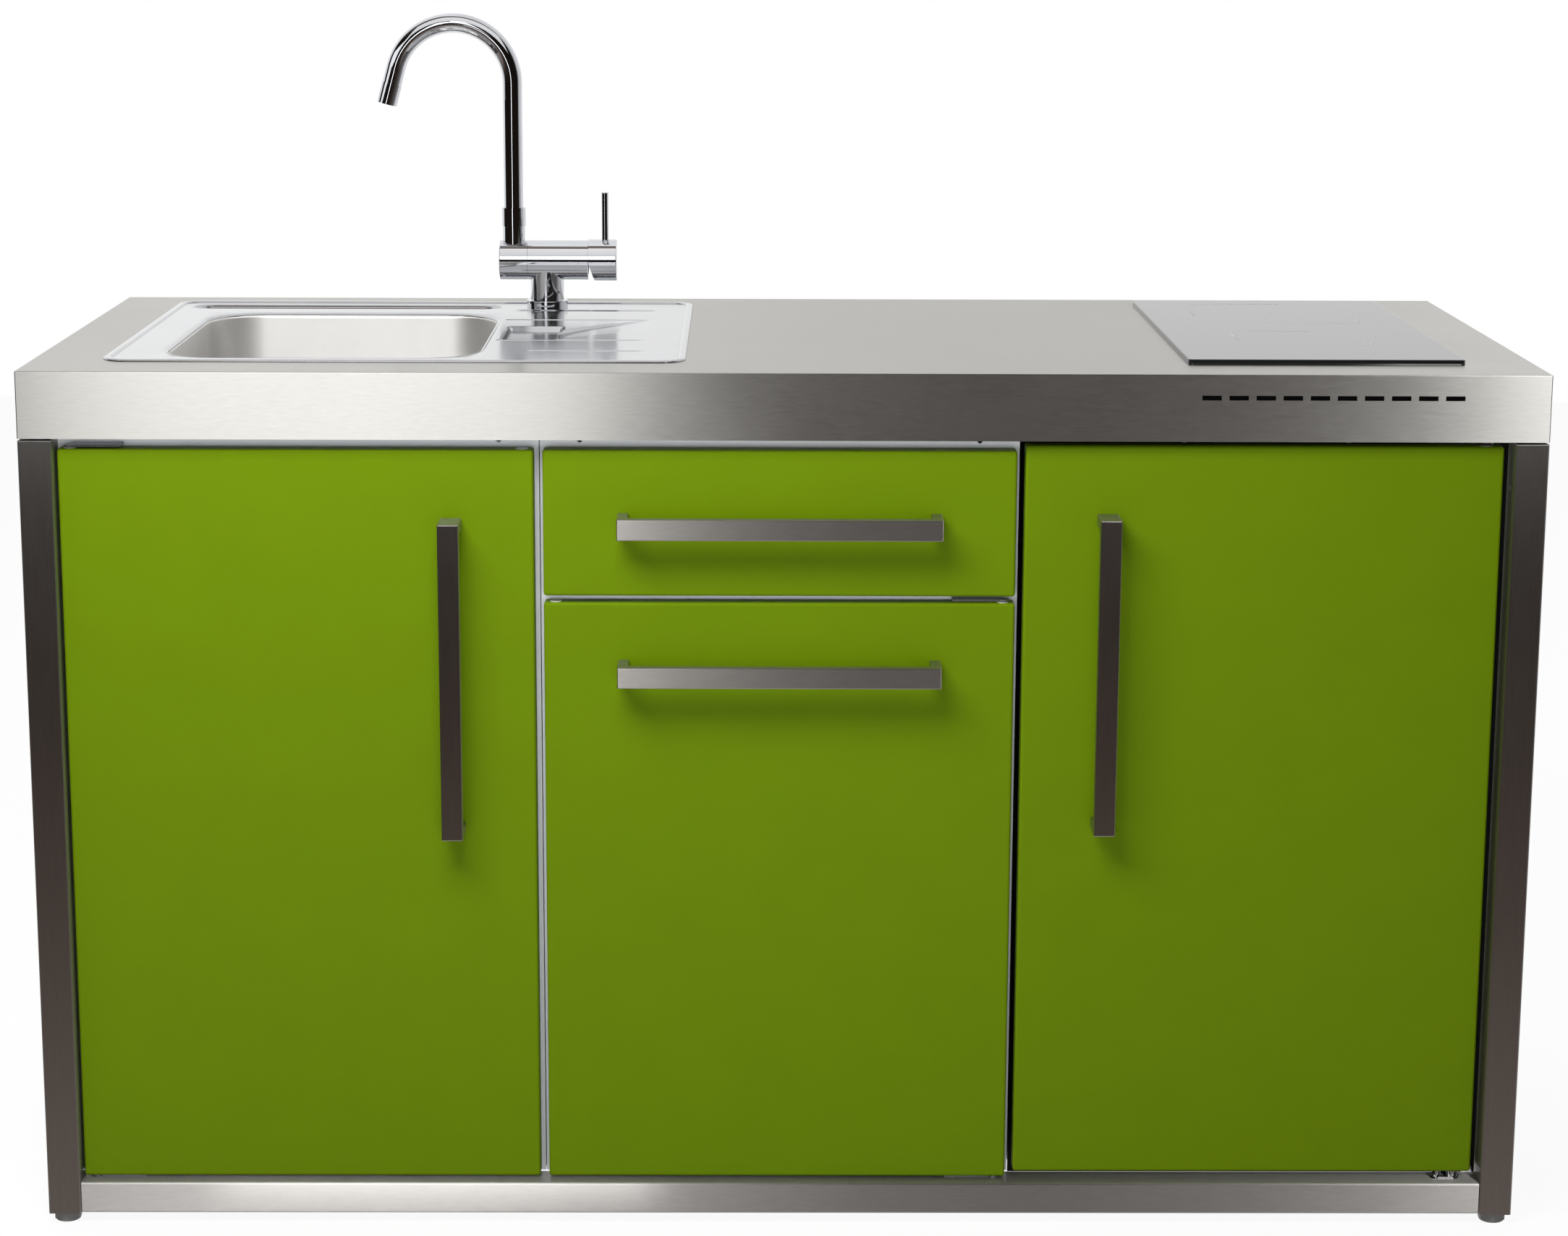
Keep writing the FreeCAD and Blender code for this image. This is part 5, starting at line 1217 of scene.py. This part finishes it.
    def dip(self, u: float, v: float) -> float:
        """Return how far the pressed sheet lies below the deck.

        Args:
            u: the place across, from the left edge.
            v: the place along, from the front edge.

        Returns:
            The depth of the deepest pressing there.
        """
        end = min(max(u, self.ledge_u[0] + self.ledge_half), self.ledge_u[1] - self.ledge_half)
        away = math.hypot(u - end, v - self.ledge_v)
        deep = self.ledge_depth * (1 - smooth_step(away, self.ledge_half - self.ledge_ease, self.ledge_half))
        early, late = self.rib_ease
        for row, (start, stop) in zip(self.rib_v, self.rib_u):
            ends = self.slope(u, (start - early, stop + early), (start + early, stop - late))
            sides = 1 - smooth_step(abs(v - row), self.rib_half / 2, self.rib_half)
            deep = max(deep, self.rib_depth * ends * sides)
        start, stop = self.furrow_u
        half = between(self.furrow_half, min(1.0, max(0.0, (u - start) / (stop - start))))
        ends = self.slope(u, self.furrow_u, (start + self.furrow_ease[0], stop - self.furrow_ease[1]))
        sides = 1 - smooth_step(abs(v - self.furrow_v), half * self.furrow_flat_share, half)
        deep = max(deep, self.furrow_depth * (ends * sides))
        well = self.slope(u, self.well_u, self.pocket_u) * self.slope(v, self.well_v, self.pocket_v)
        deep = max(deep, self.pocket_depth * well)
        along = (u - self.pocket_u[1]) / (self.channel_end - self.pocket_u[1])
        if 0 < along < 1:
            bend = along ** self.channel_bend
            front, rear = between(self.channel_front, bend), between(self.channel_rear, bend)
            inside = self.slope(
                v, (front - self.channel_overrun, rear + self.channel_overrun),
                (front + self.channel_ease[0], rear - self.channel_ease[1]),
            )
            deep = max(deep, self.channel_depth * (1 - along) ** self.channel_fade * inside)
        return deep

    def field_lines(self, width: float, length: float) -> tuple[list[float], list[float]]:
        """Return the places of the flat sheet's grid lines, closer together in its pressings.

        Args:
            width: the sink's size across.
            length: its size along.

        Returns:
            The places across, and the places along.
        """
        inset, margin = self.field_inset, self.hole_margin
        left, front = self.bowl_left - margin, self.bowl_front - margin
        right, rear = left + self.bowl_width + 2 * margin, front + self.bowl_length + 2 * margin
        wide, narrow = self.ledge_half + self.ledge_margin[0], self.ledge_half + self.ledge_margin[1]
        row_half = self.rib_half + self.rib_margin
        across = graded(inset, width - inset, self.pitch_u, [
            (left, left, self.pitch_u),
            (right, right, self.pitch_u),
            (self.ledge_u[0] - self.ledge_margin[0], self.ledge_u[0] + wide, self.ledge_pitch[0]),
            (self.ledge_u[1] - wide, self.ledge_u[1] + self.ledge_margin[0], self.ledge_pitch[0]),
            (self.furrow_u[0] - self.drainer_margin[0], self.channel_end + self.drainer_margin[1],
             self.drainer_pitch),
        ])
        along = graded(inset, length - inset, self.pitch_v, [
            (front, front, self.pitch_v),
            (rear, rear, self.pitch_v),
            *((row - row_half, row + row_half, self.rib_pitch) for row in self.rib_v),
            (self.well_v[0] - self.channel_overrun, self.channel_rear[1], self.drainer_pitch),
            (self.furrow_v - self.furrow_reach, self.furrow_v + self.furrow_reach, self.furrow_pitch),
            (self.ledge_v - narrow, self.ledge_v + narrow, self.ledge_pitch[1]),
        ])
        return across, along

    def faces_within(self, faces: Iterable[Face], across: Pair, along: Pair) -> list[Face]:
        """Return the faces whose middles lie within limits.

        Args:
            faces: the faces to choose from, some of which may be gone.
            across: the limits across.
            along: the limits along.

        Returns:
            The faces within.
        """
        x0, y0 = self.origin.x, self.origin.y
        return [
            face for face in faces if face.is_valid
            and across[0] < face.calc_center_median().x - x0 < across[1]
            and along[0] < face.calc_center_median().y - y0 < along[1]
        ]

    def press_field(self, shape: Shape, width: float, length: float) -> tuple[list[Edge], list[Edge]]:
        """Press the flat sheet with its grooves and well, and cut the bowl's hole and the overflow slot.

        Args:
            shape: the shape that gets it.
            width: the sink's size across.
            length: its size along.

        Returns:
            The sheet's outer edges, and the edges of the bowl's hole.
        """
        across, along = self.field_lines(width, length)
        made = bmesh.ops.create_grid(shape, x_segments=len(across) - 1, y_segments=len(along) - 1, size=0.5)
        sheet = {face for vert in made["verts"] for face in vert.link_faces}
        for vert in made["verts"]:
            u = across[round((vert.co.x + 0.5) * (len(across) - 1))]
            v = along[round((vert.co.y + 0.5) * (len(along) - 1))]
            vert.co = Vector((self.origin.x + u, self.origin.y + v, self.deck - self.dip(u, v)))
        outer = border(sheet)
        margin = self.hole_margin
        gone = self.faces_within(
            sheet, (self.bowl_left - margin, self.bowl_left + self.bowl_width + margin),
            (self.bowl_front - margin, self.bowl_front + self.bowl_length + margin),
        )
        hole = border(gone)
        bmesh.ops.delete(shape, geom=gone, context="FACES")
        slot = self.faces_within(sheet, self.slot_u, self.slot_v)
        bmesh.ops.delete(shape, geom=slot, context="FACES")
        return outer, hole

    def draw_bowl(self, shape: Shape) -> list[Edge]:
        """Draw the bowl: a round lip, steep walls, a round foot and a floor that falls to the drain.

        Args:
            shape: the shape that gets it.

        Returns:
            The edges of its lip.
        """
        lip = self.lip_radius
        left, front = self.origin.x + self.bowl_left, self.origin.y + self.bowl_front
        bowl = rounded_sheet(
            shape, (left - lip, front - lip),
            (left + self.bowl_width + lip, front + self.bowl_length + lip),
            self.deck, self.bowl_corner + lip, self.bowl_corner_segments,
        )
        upper = list(bowl.edges)
        profile = []
        for step in range(1, self.lip_steps + 1):
            turn = QUARTER_TURN * step / self.lip_steps
            profile.append((lip * math.sin(turn), -lip * (1 - math.cos(turn))))
        wall, foot = lip + self.draft, self.floor_radius
        bottom = -(self.bowl_depth - foot)
        profile.append((wall, bottom))
        for step in range(1, self.floor_steps + 1):
            turn = QUARTER_TURN * step / self.floor_steps
            profile.append((wall + foot * (1 - math.cos(turn)), bottom - foot * math.sin(turn)))
        step_inwards(shape, bowl, profile)
        drain_z = bowl.verts[:][0].co.z - self.drain_fall
        lower = open_face(shape, bowl)
        place = Matrix.Translation((self.origin.x + self.drain_u, self.origin.y + self.drain_v, drain_z))
        made = bmesh.ops.create_circle(
            shape, radius=self.drain_radius, segments=self.drain_segments, matrix=place,
        )
        drain = list({edge for vert in made["verts"] for edge in vert.link_edges})
        bmesh.ops.bridge_loops(shape, edges=lower + drain)
        return upper

    def in_bowl(self, place: Vector) -> bool:
        """Return whether a place on the sink lies in the bowl, below half of its lip.

        Args:
            place: the place, in millimetres.

        Returns:
            Whether it does.
        """
        left = self.origin.x + self.bowl_left
        across = left - self.lip_radius < place.x < left + self.bowl_width + self.lip_radius
        front = self.origin.y + self.bowl_front
        along = front - self.lip_radius < place.y < front + self.bowl_length + self.lip_radius
        return across and along and place.z < self.deck - self.lip_radius / 2

    def part_bowl(self, shape: Shape) -> None:
        """Part the pressing into its deck and its bowl, which have lights and finishes of their own.

        Args:
            shape: the whole pressing, which is freed.
        """
        sunk = shape.copy()
        for part, is_bowl in ((shape, False), (sunk, True)):
            other = [face for face in part.faces if self.in_bowl(face.calc_center_median()) != is_bowl]
            bmesh.ops.delete(part, geom=other, context="FACES")
        deck = finish_piece(shape, "drawn_sink", "unit", DECK_STEEL, ["sink"], self.crease_deg)
        bowl = finish_piece(sunk, "drawn_bowl", "unit", BOWL_STEEL, crease_deg=self.crease_deg)
        for piece in (deck, bowl):
            thicken(piece, "sheet", self.sheet)


@dataclass
class Hob(Assembly):
    """A ceramic plate with a ground edge, and the printed corners that mark its two zones.

    Sizes are in millimetres. The zones' places and those of the keys are measured from the plate's
    left and front edges: a zone is its left, its right, its front and its rear limit.
    """

    corner: float = 5.0
    corner_segments: int = 8
    edge: float = 1.0
    edge_segments: int = 3
    edge_band: float = 1.5
    edge_crease_deg: float = 32.0
    line: float = 1.6
    ink: float = 0.05
    ink_crease_deg: float = 30.0
    zone_radius: float = 18.0
    zone_segments: int = 8
    zone_share: float = 0.63
    zones: tuple[tuple[float, float, float, float], ...] = (
        (55.0, 236.0, 298.0, 474.0), (74.0, 216.0, 110.0, 228.0),
    )
    dot: float = 1.5
    dot_segments: int = 16
    keys: tuple[float, ...] = (66.0, 98.0, 142.0, 184.0, 203.0, 243.0)
    key_v: float = 50.0
    lock_key: Pair = (142.0, 34.0)

    def build(self) -> None:
        """Make the plate and its print, and dress the case and the coils."""
        self.dress(GALVANISED, "hob_case")
        self.dress(COPPER, "hob_coils")
        low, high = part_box("hob_glass")
        low, high = low / MM, high / MM
        self.grind_plate(low, high)
        self.print_zones(low, high)

    def grind_plate(self, low: Vector, high: Vector) -> None:
        """Make the plate, and grind its upper edge.

        Args:
            low: the plate's lowest corner.
            high: its highest corner.
        """
        shape = bmesh.new()
        face = rounded_sheet(
            shape, (low.x, low.y), (high.x, high.y), low.z, self.corner, self.corner_segments,
        )
        lifted = new_verts(bmesh.ops.extrude_face_region(shape, geom=[face]))
        bmesh.ops.translate(shape, vec=Vector((0, 0, high.z - low.z)), verts=lifted)
        bmesh.ops.recalc_face_normals(shape, faces=shape.faces[:])
        rims = [edge for edge in shape.edges if all(abs(v.co.z - high.z) < SAME_PLACE for v in edge.verts)]
        bmesh.ops.bevel(
            shape, geom=rims, affect="EDGES", offset=self.edge, segments=self.edge_segments, profile=0.5,
            material=-1,
        )
        upper = max(
            (f for f in shape.faces if f.calc_center_median().z > high.z - SAME_PLACE),
            key=lambda f: f.calc_area(),
        )
        step_inwards(shape, upper, [(self.edge_band, 0.0)])
        finish_piece(shape, "ceramic_plate", "unit", HOB_GLASS, ["hob_glass"], self.edge_crease_deg)

    def stroke(self, shape: Shape, corner: Vector, toward: Vector, reach: Pair) -> None:
        """Draw a rounded right angle of ink.

        Args:
            shape: the shape that gets it.
            corner: where its two legs would meet.
            toward: the signs of x and y that lead from the corner into the zone.
            reach: how long its legs along x and y are.
        """
        radius = self.zone_radius
        centre = corner + Vector((toward.x * radius, toward.y * radius, 0))
        start = corner + Vector((0, toward.y * radius, 0))
        inner = shape.verts.new(start + Vector((toward.x * self.line / 2, 0, 0)))
        outer = shape.verts.new(start - Vector((toward.x * self.line / 2, 0, 0)))
        edge = shape.edges.new((inner, outer))
        moved = new_verts(bmesh.ops.extrude_edge_only(shape, edges=[edge]))
        bmesh.ops.translate(shape, vec=Vector((0, toward.y * (reach[1] - radius), 0)), verts=moved)
        arc = bmesh.ops.spin(
            shape, geom=[inner, outer, edge], cent=centre, axis=Vector((0, 0, 1)),
            angle=QUARTER_TURN * toward.x * toward.y, steps=self.zone_segments, use_merge=False,
            use_duplicate=False,
        )
        last = [item for item in arc["geom_last"] if isinstance(item, Edge)]
        moved = new_verts(bmesh.ops.extrude_edge_only(shape, edges=last))
        bmesh.ops.translate(shape, vec=Vector((toward.x * (reach[0] - radius), 0, 0)), verts=moved)

    def print_zones(self, low: Vector, high: Vector) -> None:
        """Print two opposite corners and a centre dot for each zone, and a row of plain keys.

        Args:
            low: the plate's lowest corner.
            high: its highest corner.
        """
        shape = bmesh.new()
        z = high.z + self.ink
        dots: list[Pair] = []
        for left, right, front, rear in self.zones:
            reach = ((right - left) * self.zone_share, (rear - front) * self.zone_share)
            self.stroke(shape, Vector((low.x + left, low.y + rear, z)), Vector((1, -1, 0)), reach)
            self.stroke(shape, Vector((low.x + right, low.y + front, z)), Vector((-1, 1, 0)), reach)
            dots.append(((left + right) / 2, (front + rear) / 2))
        dots += [(place, self.key_v) for place in self.keys] + [self.lock_key]
        for across, along in dots:
            place = Matrix.Translation((low.x + across, low.y + along, z))
            bmesh.ops.create_circle(
                shape, cap_ends=True, radius=self.dot, segments=self.dot_segments, matrix=place,
            )
        bmesh.ops.remove_doubles(shape, verts=shape.verts[:], dist=SAME_PLACE)
        bmesh.ops.recalc_face_normals(shape, faces=shape.faces[:])
        down = [face for face in shape.faces if face.normal.z < 0]
        bmesh.ops.reverse_faces(shape, faces=down)
        piece = finish_piece(shape, "zone_print", "unit", PRINT, crease_deg=self.ink_crease_deg)
        thicken(piece, "ink", self.ink)


def main() -> None:
    """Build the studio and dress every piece."""
    logging.basicConfig(level=logging.INFO, format="%(message)s")
    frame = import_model()
    studio = Studio()
    studio.build()
    for assembly in (Frame, Worktop, Sink, Hob, Tap, Cabinets, Fridge):
        assembly(frame["nodes"]).build()
    studio.show_lights_to(
        piece for piece in bpy.context.scene.objects if piece.type == "MESH" and piece.name != FLOOR
    )


if __name__ == "__main__":
    main()
